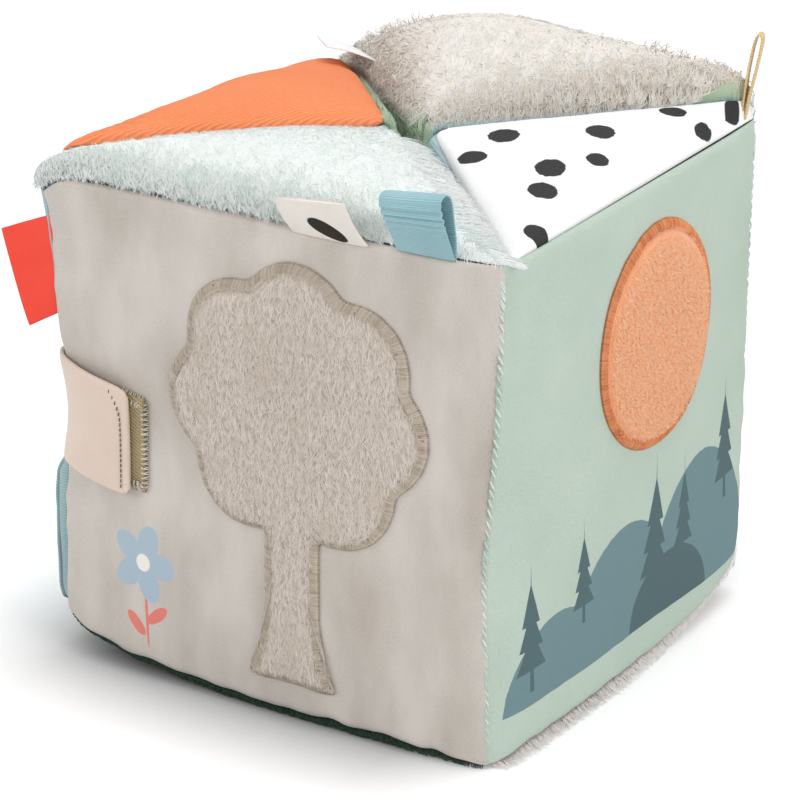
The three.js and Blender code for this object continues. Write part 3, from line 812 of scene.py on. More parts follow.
def flower_ink(tree, place, colour):
    x, y, out = -45, 37, 6.6
    petals = [
        (x + out * math.sin(turn), y + out * math.cos(turn), 4.0, 5.8, math.degrees(-turn))
        for turn in np.linspace(0.3, 0.3 + 2 * math.pi, 6)[:5]
    ]
    stem = [(-43.6, 22, 0.55, 11.5, 4)]
    leaves = [(-39.6, 21.5, 1.9, 4.6, -52), (-47.6, 17.5, 1.9, 4.6, 50)]
    middle = [(x, y, 2.7, 2.7, 0)]
    for ovals, ink in ((stem, "e57f74"), (leaves, "e57f74"), (petals, "a9bccb"), (middle, "f0ede6")):
        colour = blend_paint(tree, oval_ink(tree, place, ovals, ragged=0.06), colour, paint(ink))
    return colour


# The satin's colour carries painted fold shade: broad slanting lighter and darker streaks.
satin = cloth_finish(
    "greige_satin", "aba298", "d3ccc4", thread=0.22, roughness=0.42, sheen=0.1, bump=0.12, ink=flower_ink,
    folds=0.9,
)
dress("front", "outer", satin)

# Right face: plain woven sage cotton. Rounded hills with small pines are printed along its foot, in
# two slate inks.

# A printed triangle that stands on its base. Mask is 1 on the ink.
ink_cone, takes, gives = effect(
    "ink_cone",
    [
        ("Place", "Vector", None), ("Foot", "Vector", None), ("Half Width", "Float", 5.0),
        ("Tall", "Float", 10.0),
    ],
    ["Mask"],
)
do = maths(ink_cone)
away = apart(ink_cone, takes["Place"], takes["Foot"])
across, along, _ = split(ink_cone, away)
reach = do("MULTIPLY", do("SUBTRACT", 1.0, do("DIVIDE", along, takes["Tall"])), takes["Half Width"])
sides = crisp(ink_cone, do("SUBTRACT", reach, do("ABSOLUTE", across)))
ink_cone.links.new(do("MULTIPLY", sides, crisp(ink_cone, along)), gives["Mask"])


def pine_ink(tree, place, mask, x, foot, tall):
    """A mask with a printed pine added: three tiers, each a triangle, on a short trunk."""
    for low, high, wide in ((0.12, 0.52, 0.24), (0.34, 0.76, 0.19), (0.58, 1.0, 0.14), (-0.1, 1.2, 0.035)):
        takes = {
            "Place": place, "Foot": (x, foot + tall * low, 0), "Half Width": tall * wide,
            "Tall": tall * (high - low),
        }
        mask = calc(tree, "MAXIMUM", mask, applied(tree, ink_cone, takes))
    return mask


def hills_ink(tree, place, colour):
    hills = [(-44, 12, 27, 26, -4), (-6, 12, 33, 39, 0), (43, 18, 33, 40, 8)]
    ground = calc(tree, "GREATER_THAN", split(tree, place)[1], 15.0)
    land = calc(tree, "MULTIPLY", oval_ink(tree, place, hills, ragged=0.02), ground)
    colour = blend_paint(tree, land, colour, paint("6e8a8f"))
    near_hill = oval_ink(tree, place, [(22, 14, 24, 20, 0)], ragged=0.02)
    dark = calc(tree, "MULTIPLY", near_hill, ground)
    for x, foot, tall in ((-58, 22, 30), (-30, 32, 24), (12, 26, 34), (30, 30, 26), (60, 40, 30)):
        dark = pine_ink(tree, place, dark, x, foot, tall)
    return blend_paint(tree, dark, colour, paint("52696d"))


sage = cloth_finish("sage_print", "9fb5a6", "c4d2c5", thread=0.4, bump=0.3, ink=hills_ink)
dress("right", "outer", sage)

# The two outer faces behind: short teal velour on the left, plain slate cotton at the back. Nothing is
# printed on them.

velour = cloth_finish(
    "teal_velour", "7d9fa6", "b3cbcf", thread=0.9, ribs=88, roughness=0.95, sheen=0.35, bump=0.25
)
slate = cloth_finish("slate_cotton", "5c7b79", "83a29e", thread=0.42, bump=0.3)
dress("left", "outer", velour)
dress("back", "outer", slate)

# Inner faces. They meet at the middle of the cube and show as strips in the gaps between the tops.

green = cloth_finish("green_cotton", "9db596", "c9d9be", thread=0.5, roughness=0.92, sheen=0.2, bump=0.3)
for cushion, finish, slot in (
    ("front", velour, "teal_velour"), ("right", velour, "teal_velour"), ("back", green, "green_cotton"),
):
    for side in ("left", "right"):
        dress(cushion, side, finish)
dress("left", "left", green)
dress("left", "right", velour)

# Spotted top: white cotton with hand-cut looking black spots, which the seams cut through.


def spot_ink(tree, place, colour):
    spots = [
        (2.2, -30.0, 5.4, 4.6, 30), (-15.5, -30.2, 4.2, 4.2, 60), (18.1, -52.9, 5.6, 4.2, 40),
        (-0.5, -62.2, 4.0, 3.2, 35), (-13.0, -53.9, 5.6, 4.4, 25), (-26.5, -59.2, 5.2, 4.2, 40),
        (46.8, -61.3, 4.2, 4.0, 60), (47.5, -71.2, 4.4, 1.9, 0), (65.0, -71.5, 3.4, 1.9, 0),
        (-50.6, -70.9, 4.4, 3.4, 40), (-10.0, -11.3, 3.4, 4.0, 10), (1.5, -8.5, 3.4, 3.4, 0),
    ]
    threads = calc(tree, "MULTIPLY_ADD", cloud(tree, place, 1.6, 3.0), 0.7, 0.0)
    ink = blend_paint(tree, threads, paint("191819"), paint("4a4a4c"))
    return blend_paint(tree, oval_ink(tree, place, spots, ragged=0.34), colour, ink)


spotted = cloth_finish("spotted_cotton", "ececed", "fbfbfb", thread=0.4, bump=0.25, ink=spot_ink)
dress("right", "top", spotted)

# Orange top: twill with fine steep ribs, puckered along its seams.

twill = cloth_finish(
    "orange_twill", "e2703f", "fc9c6a", thread=0.85, ribs=62, roughness=0.8, bump=0.7, size=45
)
dress("left", "top", twill)

# Plush tops and bottoms: these are the knitted backs that the pile stands on, in the pile's colour. The
# bottom of the left cushion is plain cotton.

# The front bottom's dark green back is made darker still, as painted shade under the cube's front.
plush_backs = {
    slot: cloth_finish(slot + "_back", dark, light, thread=0.8, roughness=0.95, sheen=sheen, bump=0.4)
    for slot, dark, light, sheen in (
        ("mint_plush", "dfe9e4", "f5f9f7", 0.2), ("cream_fur", "e2dbd1", "f4f0ea", 0.2),
        ("forest_plush", "18211c", "37473d", 0.0), ("pink_plush", "d8c4bd", "efe2dc", 0.0),
    )
}
sage_plain = cloth_finish("sage_cotton", "9fb5a6", "c4d2c5", thread=0.4, bump=0.3)
tops = {
    cushion: dress(cushion, "top", plush_backs[slot])
    for cushion, slot in (("front", "mint_plush"), ("back", "cream_fur"))
}
bottoms = {
    cushion: dress(cushion, "bottom", plush_backs[slot])
    for cushion, slot in (("front", "forest_plush"), ("right", "pink_plush"), ("back", "mint_plush"))
}
dress("left", "bottom", sage_plain)

# Pile. Each strand is a fine tapered yarn end, and thousands of them stand on the knitted back, combed
# one way and gathered in locks. The mint pile hangs over the front seam, and the cream one curls.

FLAT_SHARE = 0.4  # how thick a strand that lies on its cloth is, as a share of its width
LIGHT_LET_BY = 0.9
FLOOR_CLEARANCE = 0.3
STITCH = 0.42  # how thick the sewing threads are


def unit(vectors):
    return vectors / (np.linalg.norm(vectors, axis=-1, keepdims=True) + 1e-9)


def strands(name, curves, widths, finish, parent, sides=3, lay=None):
    """Many strands in one piece: curves is (count, levels, 3) in mm, widths is (count, levels).

    Lay is the direction that the cloth under each strand faces, and such a strand is flat on it."""
    count, levels = widths.shape
    made = bmesh.new()
    bmesh.ops.create_circle(made, segments=sides, radius=1.0)
    rim = made.edges[:]
    for _ in range(levels - 1):
        grown = bmesh.ops.extrude_edge_only(made, edges=rim)["geom"]
        tips = [part for part in grown if isinstance(part, bmesh.types.BMVert)]
        edges = [part for part in grown if isinstance(part, bmesh.types.BMEdge)]
        rim = [edge for edge in edges if all(vert in tips for vert in edge.verts)]
        bmesh.ops.translate(made, vec=(0, 0, 1), verts=tips)
    bmesh.ops.holes_fill(made, edges=made.edges[:], sides=sides)
    bmesh.ops.recalc_face_normals(made, faces=made.faces[:])
    piece = place_object(name, mesh_of(name, made))
    single = piece.data
    copies = piece.modifiers.new("copies", "ARRAY")
    copies.count = count
    copies.use_relative_offset = False
    copies.use_constant_offset = True
    copies.constant_offset_displace = (0, 0, 0)
    whole = bpy.data.meshes.new_from_object(piece.evaluated_get(bpy.context.evaluated_depsgraph_get()))
    piece.modifiers.clear()
    piece.data = whole
    corners = np.empty(len(single.vertices) * 3)
    single.vertices.foreach_get("co", corners)
    corners = corners.reshape(-1, 3)
    level = corners[:, 2].round().astype(int)
    along = unit(np.gradient(curves, axis=1))
    random = np.random.default_rng(len(name) + count)
    aside = random.normal(size=(count, 1, 3))
    if lay is not None:
        aside = np.broadcast_to(lay, (count, 3))[:, None] + 0.3 * aside
    first = unit(np.cross(aside, along))
    second = np.cross(along, first) * (1.0 if lay is None else FLAT_SHARE)
    spread = corners[None, :, 0, None] * first[:, level] + corners[None, :, 1, None] * second[:, level]
    places = curves[:, level] + 0.5 * widths[:, level, None] * spread
    whole.vertices.foreach_set("co", in_row(places).ravel())
    for key, values in (("tip", level / (levels - 1)), ("tone", random.random((count, 1)))):
        values = np.ascontiguousarray(np.broadcast_to(values, (count, len(level))), np.float32)
        whole.attributes.new(key, "FLOAT", "POINT").data.foreach_set("value", values.ravel())
    whole.shade_smooth()
    whole.update()
    whole.materials.clear()
    whole.materials.append(finish)
    piece.parent = parent
    return piece


def scatter(piece, count, seed, weight=None):
    """Places spread over a sheet, in settled mm, with the sheet's normal at each."""
    data = piece.data
    data.calc_loop_triangles()
    corners = np.empty(len(data.loop_triangles) * 3, int)
    data.loop_triangles.foreach_get("vertices", corners)
    places = np.empty(len(data.vertices) * 3)
    data.vertices.foreach_get("co", places)
    places = places.reshape(-1, 3) / MM - cube_middle
    first, second, third = places[corners.reshape(-1, 3)].transpose(1, 0, 2)
    cross = np.cross(second - first, third - first)
    area = np.linalg.norm(cross, axis=1)
    chance = area * (1 if weight is None else weight((first + second + third) / 3))
    random = np.random.default_rng(seed)
    picked = random.choice(len(area), size=count, p=chance / chance.sum())
    u, v = random.random((2, count, 1))
    u, v = np.where(u + v > 1, 1 - u, u), np.where(u + v > 1, 1 - v, v)
    spots = first[picked] + u * (second - first)[picked] + v * (third - first)[picked]
    return spots, cross[picked] / area[picked, None]


def pile_curves(
    spots, normals, length, comb, seed, rise=0.5, wave=0.0, lock=0.0, lock_size=5.0, sag=0.0, levels=4
):
    """The run of each strand: up from the back, over with the comb, gathered in locks and waved."""
    random = np.random.default_rng(seed)
    count = len(spots)
    length = np.broadcast_to(length, (count,)) * (0.75 + 0.5 * random.random(count))
    comb = np.broadcast_to(comb, (count, 3)) + 0.18 * random.normal(size=(count, 3))
    comb = unit(comb - 0.8 * (comb * normals).sum(1, keepdims=True) * normals)
    t = np.linspace(0, 1, levels)[None, :, None]
    lean = np.broadcast_to(rise, (count,))[:, None, None]
    run = lean * t * normals[:, None] + (1 - lean) * t**1.3 * comb[:, None]
    run = run * length[:, None, None] / (lean + (1 - lean) * 0.9)
    aside = np.cross(normals, comb)[:, None]
    phase = 2 * math.pi * random.random((count, 1, 1))
    swing = phase + 5.5 * t
    run += wave * np.sin(swing) * t * aside + wave * 0.6 * np.cos(swing) * t * normals[:, None]
    run[..., 2] -= sag * t[..., 0] ** 2
    curves = spots[:, None] + run
    if lock:
        cell = np.floor((spots + 1.3 * random.normal(size=spots.shape)) / lock_size).astype(int)
        _, owner = np.unique(cell, axis=0, return_inverse=True)
        owner = owner.ravel()
        ends = np.zeros((owner.max() + 1, 3))
        np.add.at(ends, owner, curves[:, -1])
        ends /= np.bincount(owner)[:, None]
        curves += lock * t**1.6 * (ends[owner] - curves[:, -1])[:, None]
    return curves


def attribute(tree, key):
    """A value that each strand carries."""
    return add_node(tree, "ShaderNodeAttribute", attribute_name=key).outputs["Fac"]


def pile_finish(name, root, tip, streak=None, streak_size=12.0):
    """A pile material: darker at its roots, paler at its tips, each strand a little different.

    Fibres are far finer than these strands, so most light that meets a strand passes among them."""
    made, tree, shader = new_finish(name, 0.9, 0.15)
    up, tone = (attribute(tree, key) for key in ("tip", "tone"))
    share = calc(tree, "MULTIPLY_ADD", up, 0.75, calc(tree, "MULTIPLY", tone, 0.3))
    colour = blend_paint(tree, share, paint(root), paint(tip))
    if streak:
        place = add_node(tree, "ShaderNodeTexCoord").outputs["Object"]
        patch = cloud(tree, place, 1000 / streak_size, 2.0)
        patch = add_node(tree, "ShaderNodeMapRange", {0: patch, 1: 0.5, 2: 0.68, 3: 0.0, 4: 0.75}).outputs[0]
        colour = blend_paint(tree, patch, colour, paint(streak))
    tree.links.new(colour, shader.inputs["Base Color"])
    rays = add_node(tree, "ShaderNodeLightPath").outputs
    passing = calc(tree, "MAXIMUM", rays["Is Shadow Ray"], rays["Is Diffuse Ray"])
    let_by = calc(tree, "MULTIPLY", passing, LIGHT_LET_BY)
    clear = add_node(tree, "ShaderNodeBsdfTransparent").outputs[0]
    both = add_node(tree, "ShaderNodeMixShader", {0: let_by, 1: shader.outputs[0], 2: clear})
    tree.links.new(both.outputs[0], tree.nodes["Material Output"].inputs["Surface"])
    return made


def grow_pile(
    name, sheet, count, seed, finish, slot, thick, length, comb, parent=None, weight=None, facing=None,
    lay=None, rise=0.5, levels=4, tip=0.25, **run,
):
    """A pile on a sheet of cloth. Its length and rise can be functions of the strands' places.

    Tip is how wide a strand's end is, as a share of thick, and facing is where all strands set out to
    if not along the cloth's normals."""
    spots, normals = scatter(sheet, count, seed, weight)
    length, rise = (part(spots) if callable(part) else part for part in (length, rise))
    up = normals if facing is None else np.array(facing) + 0 * normals
    curves = pile_curves(spots, up, length, np.array(comb), seed + 1, rise=rise, levels=levels, **run)
    curves[..., 2] = np.maximum(curves[..., 2], FLOOR_CLEARANCE)
    widths = thick * np.broadcast_to(np.linspace(1, tip, levels), (count, levels))
    strands(name, curves, widths, finish, parent or sheet.parent, lay=normals if lay is None else lay)


def near_front(spots):
    return np.clip((-spots[:, 1] - 48) / 24, 0, 1)


mint_pile = pile_finish("mint_pile", "eaf2ef", "ffffff", streak="e9f2ee", streak_size=16)
grow_pile(
    "mint_pile", tops["front"], 9500, 11, mint_pile, "mint_plush", 0.38,
    lambda p: 3.4 - 1.0 * near_front(p), (0.25, -0.8, 0.0), rise=lambda p: 0.24 - 0.1 * near_front(p),
    wave=0.1, lock=0.3, lock_size=6.0, levels=3,
)
grow_pile(
    "mint_edge_pile", tops["front"], 5200, 13,
    pile_finish("mint_edge_pile", "bccdc5", "fafdfb", streak="d3e0da", streak_size=9), "mint_plush", 0.42,
    lambda p: 5.4 * np.clip((38 - p[:, 0]) / 12, 0.45, 1), (0.6, -0.5, -0.6),
    weight=lambda p: np.exp(-np.clip(p[:, 1] + 73.5, 0, 99) / 3.5) * (p[:, 0] < 38),
    facing=(0.0, -0.35, 0.93), rise=0.3, wave=0.3, lock=0.5, lock_size=3.0, sag=1.0,
)

# Beside the right cushion the mint plush bulges over the gap and hides the wall behind it.
grow_pile(
    "mint_side_pile", tops["front"], 3600, 15, mint_pile, "mint_plush", 0.45, 8.5, (0.8, 0.5, -0.35),
    weight=lambda p: np.exp(-np.clip(-p[:, 1] - p[:, 0] - 1.0, 0, 99) / 3.0) * (p[:, 0] > 6),
    facing=(0.55, 0.55, 0.6), wave=0.3, lock=0.4, lock_size=3.0, sag=1.2,
)

grow_pile(
    "cream_fur", tops["back"], 11000, 21,
    pile_finish("cream_fur", "ede6de", "fffdfa", streak="f0e9e0", streak_size=20), "cream_fur", 0.5, 4.2,
    (0.3, -0.9, 0.0), rise=0.15, wave=0.1, lock=0.5, lock_size=7.0, levels=3,
)
grow_pile(
    "cream_curls", tops["back"], 6300, 23,
    pile_finish("cream_curls", "d3c5b4", "fbf6ee", streak="e6dac9", streak_size=7), "cream_fur", 0.45,
    lambda p: 7.5 + 3.5 * np.clip((p[:, 0] - 25) / 35, 0, 1), (0.1, -0.9, -0.3),
    weight=lambda p: np.exp(-np.clip(p[:, 1] - np.abs(p[:, 0]) - 1.5, 0, 99) / 5.0),
    wave=2.0, lock=0.8, lock_size=4.5, sag=1.0, levels=5,
)

# Appliqués. A round tree in beige plush on the front, and an orange plush disc on the right face. Each
# is a pad of short pile over wadding, and its edge is sewn down with close satin stitches.


def points_at(run, places):
    """The points of a run at some distances from its start."""
    return np.stack([np.interp(places, travelled(run), part) for part in run.T], 1)


def outline_run(corners, spacing=1.0):
    """Even points along a closed outline."""
    ring = np.concatenate([corners, corners[:1]])
    whole = travelled(ring)[-1]
    return points_at(ring, np.linspace(0, whole, int(whole / spacing), endpoint=False))


def around_point(middle, radius, turn):
    return np.stack([middle[0] + radius * np.cos(turn), middle[1] + radius * np.sin(turn)], 1)


def rounded(outline, passes):
    for _ in range(passes):
        outline = (np.roll(outline, 1, 0) + 2 * outline + np.roll(outline, -1, 0)) / 4
    return outline


def from_edge(points, outline):
    """Distance from each point to the outline."""
    flat = points.reshape(-1, 2)
    return np.min(np.linalg.norm(flat[:, None] - outline[None], axis=2), axis=1).reshape(points.shape[:-1])


def pad_height(away, border, thick, crown):
    """The profile of a pad: a sewn slope, a fine groove, then the crowned plush."""
    slope = 0.5 + (thick - 0.5) * np.clip(away / border, 0, 1) ** 0.7
    groove = 0.9 * np.exp(-(((away - border - 0.5) / 0.5) ** 2))
    return slope - groove + crown * (1 - np.exp(-np.clip(away - border, 0, None) / 7))


def plush_pad(name, node, slot, cushion, outline, middle, border, thick, crown, finish):
    """A pad's mesh, in rings from its sewn edge to its middle."""
    rings = np.concatenate([np.linspace(0, 0.3, 16) ** 1.5, np.linspace(0.19, 1, 34)[1:]])
    flat = outline[None] + (np.asarray(middle) - outline)[None] * rings[:, None, None]
    away = from_edge(flat, outline)
    at = np.concatenate([flat, np.zeros(away.shape + (1,))], -1)
    out = pad_height(away, border, thick, crown) + 0.35 * noise_at(at, 9.0, 31) * np.clip(away / 8, 0, 1)
    places = on_face(cushion, flat[..., 0], flat[..., 1], out)
    closed = [np.concatenate([part, part[:, :1]], 1) for part in (places, flat)]
    made = grid_sheet(*closed)
    bmesh.ops.remove_doubles(made, verts=made.verts, dist=0.01)
    pad = new_piece(name, made)
    thicken(pad, BACKING_THICKNESS)
    sew(pad, finish, fillings[cushion], node)
    return pad


def border_stitches(name, pad, cushion, outline, border, thick, pitch, finish, slot, slant=0.5):
    """Threads laid side by side across a pad's edge."""
    run = outline_run(outline, pitch)
    ahead = unit(np.roll(run, -1, 0) - np.roll(run, 1, 0))
    inward = np.stack([-ahead[:, 1], ahead[:, 0]], 1)
    t = np.linspace(0, 1, 5)
    uneven = 0.12 * np.random.default_rng(len(name)).normal(size=(len(run), 1, 1))
    flat = run[:, None] + inward[:, None] * (-0.35 + (border + 0.5 + uneven) * t[None, :, None])
    flat = flat + ahead[:, None] * slant * t[None, :, None]
    out = pad_height(np.clip(t * (border + 0.5) - 0.35, 0, border), border, thick, 0.0) + 0.15
    out[0], out[-1] = 0.1, out[-1] - 0.5
    curves = settled(on_face(cushion, flat[..., 0], flat[..., 1], np.broadcast_to(out, flat.shape[:-1])))
    strands(name, curves, np.full(curves.shape[:2], STITCH), finish, pad, sides=4)


def thread_finish(name, dark, light):
    """Sewing thread: two plies, a little shiny."""
    made, tree, shader = new_finish(name, 0.55, 0.4)
    place = add_node(tree, "ShaderNodeTexCoord").outputs["Object"]
    tone = calc(tree, "MULTIPLY", attribute(tree, "tone"), 0.5)
    share = calc(tree, "MULTIPLY_ADD", cloud(tree, place, 1400.0), 0.6, tone)
    tree.links.new(blend_paint(tree, share, paint(dark), paint(light)), shader.inputs["Base Color"])
    add_relief(tree, shader, cloud(tree, place, 3000.0), 0.4, 0.0002)
    return made


TREE_MIDDLE = (12.0, 96.0)
TREE_RADIUS = 38
TREE_FOOT = 13.0
TREE_EDGE = {"border": 2.6, "thick": 1.9}
opening = math.asin(9 / TREE_RADIUS)
turn = np.linspace(-math.pi / 2 + opening, 1.5 * math.pi - opening, 43)
lobes = 5 * np.abs(np.sin(math.pi * np.arange(43) / 6))
crown_edge = around_point(TREE_MIDDLE, TREE_RADIUS + lobes, turn)
trunk_right = [[-3, TREE_FOOT], [27, TREE_FOOT], [23.5, TREE_FOOT + 8], [21.2, TREE_FOOT + 20]]
trunk_left = [[2.8, TREE_FOOT + 20], [0.5, TREE_FOOT + 8]]
tree_outline = rounded(outline_run(np.concatenate([trunk_right, crown_edge, trunk_left])), 3)
tree_pad = plush_pad(
    "tree_pad", "tree_applique", "beige_plush", "front", tree_outline, (12, 61), crown=1.2, **TREE_EDGE,
    finish=cloth_finish("tree_plush_back", "b5a79a", "d5cabf", thread=0.7, roughness=0.95, bump=0.4),
)
grow_pile(
    "tree_pile", tree_pad, 12000, 41,
    pile_finish("tree_pile", "c6b8ab", "f3eae1", streak="dccfc3", streak_size=10), "beige_plush", 0.42, 3.4,
    (0.25, 0.0, -1.0), parent=tree_pad, tip=0.3,
    weight=lambda p: np.clip((from_edge(np.stack([p[:, 0], p[:, 2]], 1), tree_outline) - 2.2) / 0.6, 0, 1),
    rise=0.3, wave=0.25, lock=0.55, lock_size=3.4, levels=3,
)
border_stitches(
    "tree_border", tree_pad, "front", tree_outline, pitch=0.55, slot="beige_plush", **TREE_EDGE,
    finish=thread_finish("beige_thread", "a3937f", "ded3c4"),
)

DISC_MIDDLE = (9.5, 104.0)
DISC_RADIUS = 33.0
DISC_EDGE = {"border": 2.4, "thick": 1.5}
disc_outline = around_point(DISC_MIDDLE, DISC_RADIUS, np.linspace(0, 2 * math.pi, 240, endpoint=False))
disc_pad = plush_pad(
    "disc_pad", "sun_applique", "orange_plush", "right", disc_outline, DISC_MIDDLE, crown=0.9, **DISC_EDGE,
    finish=cloth_finish(
        "disc_plush_back", "e08a58", "f5b287", thread=0.7, roughness=0.95, sheen=0.3, bump=0.4
    ),
)


def in_disc(spots):
    """1 inside the disc's border and 0 on it."""
    away = np.hypot(*(spots[:, 1:] - DISC_MIDDLE).T)
    return np.clip((DISC_RADIUS - 3.2 - away) / 0.5, 0, 1)


grow_pile(
    "disc_nap", disc_pad, 10500, 51,
    pile_finish("disc_nap", "ffa66e", "ffd8b4", streak="ffc79f", streak_size=4), "orange_plush", 0.4, 1.5,
    (0.0, 0.3, -1.0), parent=disc_pad, tip=0.35, weight=in_disc,
    wave=0.2, lock=0.4, lock_size=1.6, levels=3,
)
border_stitches(
    "disc_border", disc_pad, "right", disc_outline, pitch=0.6, slot="orange_plush", slant=0.3, **DISC_EDGE,
    finish=thread_finish("rust_thread", "b9622f", "f4a673"),
)

# Ribbons, tapes and tags. Each is a flat woven strip folded into a seam. A strip here is a grid along
# its run with a soft rounded section, and its cloth map runs along and across it in mm.

SECTION_POWER = 0.45  # below 1, a strip's section is a box with round edges
UPRIGHT = np.array([[0.0, 0.0, 1.0]])


def strip(name, middles, across, half_wide, half_thick, finish, parent, node, rows=24):
    """A strip of cloth with rounded edges and ends.

    Middles is (count, 3), and across is the direction of its width, the same all along or at each."""
    across = unit(np.broadcast_to(across, middles.shape))
    out = unit(np.cross(across, unit(np.gradient(middles, axis=0))))
    turn = np.linspace(0, 2 * math.pi, 2 * rows + 1)
    side, face = (np.sign(part) * np.abs(part) ** SECTION_POWER for part in (np.cos(turn), np.sin(turn)))
    wide = side[:, None] * np.broadcast_to(half_wide, len(middles))
    thick = face[:, None] * np.broadcast_to(half_thick, len(middles))
    places = middles[None] + wide[..., None] * across[None] + thick[..., None] * out[None]
    flat = np.stack([np.broadcast_to(travelled(middles), wide.shape), wide], -1)
    ends = [middles[None, :1] + 0 * places[:, :1], middles[None, -1:] + 0 * places[:, -1:]]
    places = np.concatenate([ends[0], places, ends[1]], 1)
    flat = np.concatenate([flat[:, :1], flat, flat[:, -1:]], 1)
    made = grid_sheet(places, flat)
    bmesh.ops.remove_doubles(made, verts=made.verts, dist=0.005)
    bmesh.ops.recalc_face_normals(made, faces=made.faces)
    return sew(new_piece(name, made), finish, parent, node)


def smooth_run(corners, count):
    """Even points on a smooth curve through the corners."""
    corners = np.asarray(corners, float)
    grown = np.concatenate([2 * corners[:1] - corners[1:2], corners, 2 * corners[-1:] - corners[-2:-1]])
    run = []
    for a, b, c, d in zip(grown, grown[1:], grown[2:], grown[3:]):
        for t in np.linspace(0, 1, 12, endpoint=False):
            bend = (2 * a - 5 * b + 4 * c - d) * t**2 + (3 * b - a - 3 * c + d) * t**3
            run.append(0.5 * (2 * b + (c - a) * t + bend))
    run = np.array([*run, corners[-1]])
    return points_at(run, np.linspace(0, travelled(run)[-1], count))


# Blue ribbon loop: stiff ribbed ribbon, folded over and sewn in the front top seam, leaning forward.
# Three sharp pleats cross it near its top.

blue_ribbon = cloth_finish(
    "blue_ribbon", "6f9fad", "abd3da", thread=0.55, ribs=0, roughness=0.45, sheen=0.1, bump=0.6, size=14,
)
loop_section = smooth_run(
    [
        (0.0, -1.0), (-2.2, 3.5), (-5.2, 9.5), (-7.6, 15.5), (-7.4, 18.4), (-4.8, 19.2), (-2.2, 16.8),
        (-0.6, 10.5), (0.7, 4.0), (0.9, -1.0),
    ],
    120,
)
steps = np.arange(len(loop_section))
pleat = 0.42 * np.sin(steps * 2 * math.pi / 6.6) * np.exp(-(((steps - 40) / 9.0) ** 2))
fore = unit(np.gradient(loop_section, axis=0))
loop_section = loop_section + pleat[:, None] * np.stack([-fore[:, 1], fore[:, 0]], 1)
rise = np.clip(loop_section[:, 1] / 19, 0, 1)
left_run, right_run = (
    np.array(foot) + np.stack([lean * rise, loop_section[:, 0], loop_section[:, 1] * tall], 1)
    for foot, lean, tall in (((42.4, -75.0, 149.2), -1.2, 0.87), ((60.2, -75.0, 149.6), 0.0, 0.97))
)
across = right_run - left_run
strip(
    "blue_ribbon_loop", (left_run + right_run) / 2, across, np.linalg.norm(across, axis=1) / 2, 0.4,
    blue_ribbon, fillings["front"], "blue_ribbon_loop",
)

# Hanging loop: narrow gold ribbon, doubled and sewn in the corner seam, standing up.

gold_ribbon = cloth_finish(
    "gold_ribbon", "b5925c", "ecd3a2", thread=0.9, ribs=25, roughness=0.5, bump=0.5, size=10
)
hang_section = smooth_run(
    [
        (0.0, -1.5), (0.5, 6), (1.2, 13), (2.2, 19.5), (3.2, 23.6), (4.2, 24.5), (4.9, 23), (4.2, 18),
        (2.9, 11), (1.7, 5), (1.0, -1.5),
    ],
    70,
)
hang_foot = np.array([72.2, 71.5, 151.5])
hang_run = hang_foot + np.stack([hang_section[:, 0], 0.3 * hang_section[:, 0], hang_section[:, 1]], 1)
strip(
    "hanging_loop", hang_run, np.array([[-0.25, 1.0, 0.0]]), 2.0, 0.35, gold_ribbon,
    fillings["right"], "hanging_loop", rows=12,
)


def tag_sheet(name, corners, half_thick, finish, parent, node, bow=0.8):
    """A flat tag between four corners: foot left, foot right, top left, top right, softly bowed."""
    foot_left, foot_right, top_left, top_right = np.asarray(corners, float)
    t = np.linspace(0, 1, 30)[:, None]
    left_edge = foot_left + (top_left - foot_left) * t
    right_edge = foot_right + (top_right - foot_right) * t
    out = unit(np.cross(foot_right - foot_left, top_left - foot_left))
    middles = (left_edge + right_edge) / 2 + bow * np.sin(math.pi * t) * out
    across = right_edge - left_edge
    half_wide = np.linalg.norm(across, axis=1) / 2
    strip(name, middles, across, half_wide, half_thick, finish, parent, node, rows=20)


# Dotted tag: folded white cotton in the front top seam, printed with one dark oval that the seam cuts.


def tag_ink(tree, place, colour):
    mask = oval_ink(tree, place, [(4.6, 2.0, 5.8, 3.2, 123)], ragged=0.08)
    return blend_paint(tree, mask, colour, paint("2c2620"))


tag_cotton = cloth_finish("tag_cotton", "ddd5cc", "f1ece5", thread=0.4, bump=0.3, size=16, ink=tag_ink)
tag_sheet(
    "dotted_tag", [(9.5, -75.2, 147.4), (33.6, -75.6, 147.6), (7.3, -80.9, 158.0), (30.2, -82.3, 160.8)],
    0.6, tag_cotton, fillings["front"], "dotted_tag",
)

# Red side tag: plain red tape, folded double, in the front left seam. White label: the same in white,
# bare, in the seam between the orange and the cream tops.

TAPE = {"ribs": 90, "roughness": 0.6, "bump": 0.3, "size": 12}
red_tape = cloth_finish("red_tape", "ea3324", "ff5643", thread=0.3, **TAPE)
tag_sheet(
    "red_side_tag",
    [(-71.0, -74.2, 107.6), (-73.6, -74.2, 136.3), (-82.1, -77.2, 101.4), (-89.1, -78.0, 130.1)],
    0.4, red_tape, fillings["front"], "red_side_tag", bow=-0.6,
)
white_tape = cloth_finish("white_tape", "e9e9ea", "fdfdfd", thread=0.5, **TAPE)
tag_sheet(
    "blank_label", [(-38.0, 40.5, 161.5), (-57.5, 60.0, 158.5), (-51.5, 33.5, 166.0), (-69.0, 54.0, 163.0)],
    0.4, white_tape, fillings["left"], "blank_label", bow=0.6,
)

# Closing strap: a doubled tab of peach satin, sewn to the left face, wrapped round the open edge. A line
# of dark stitches closes its free end. Hook tape is sewn inside that end, on a strip of loop tape.

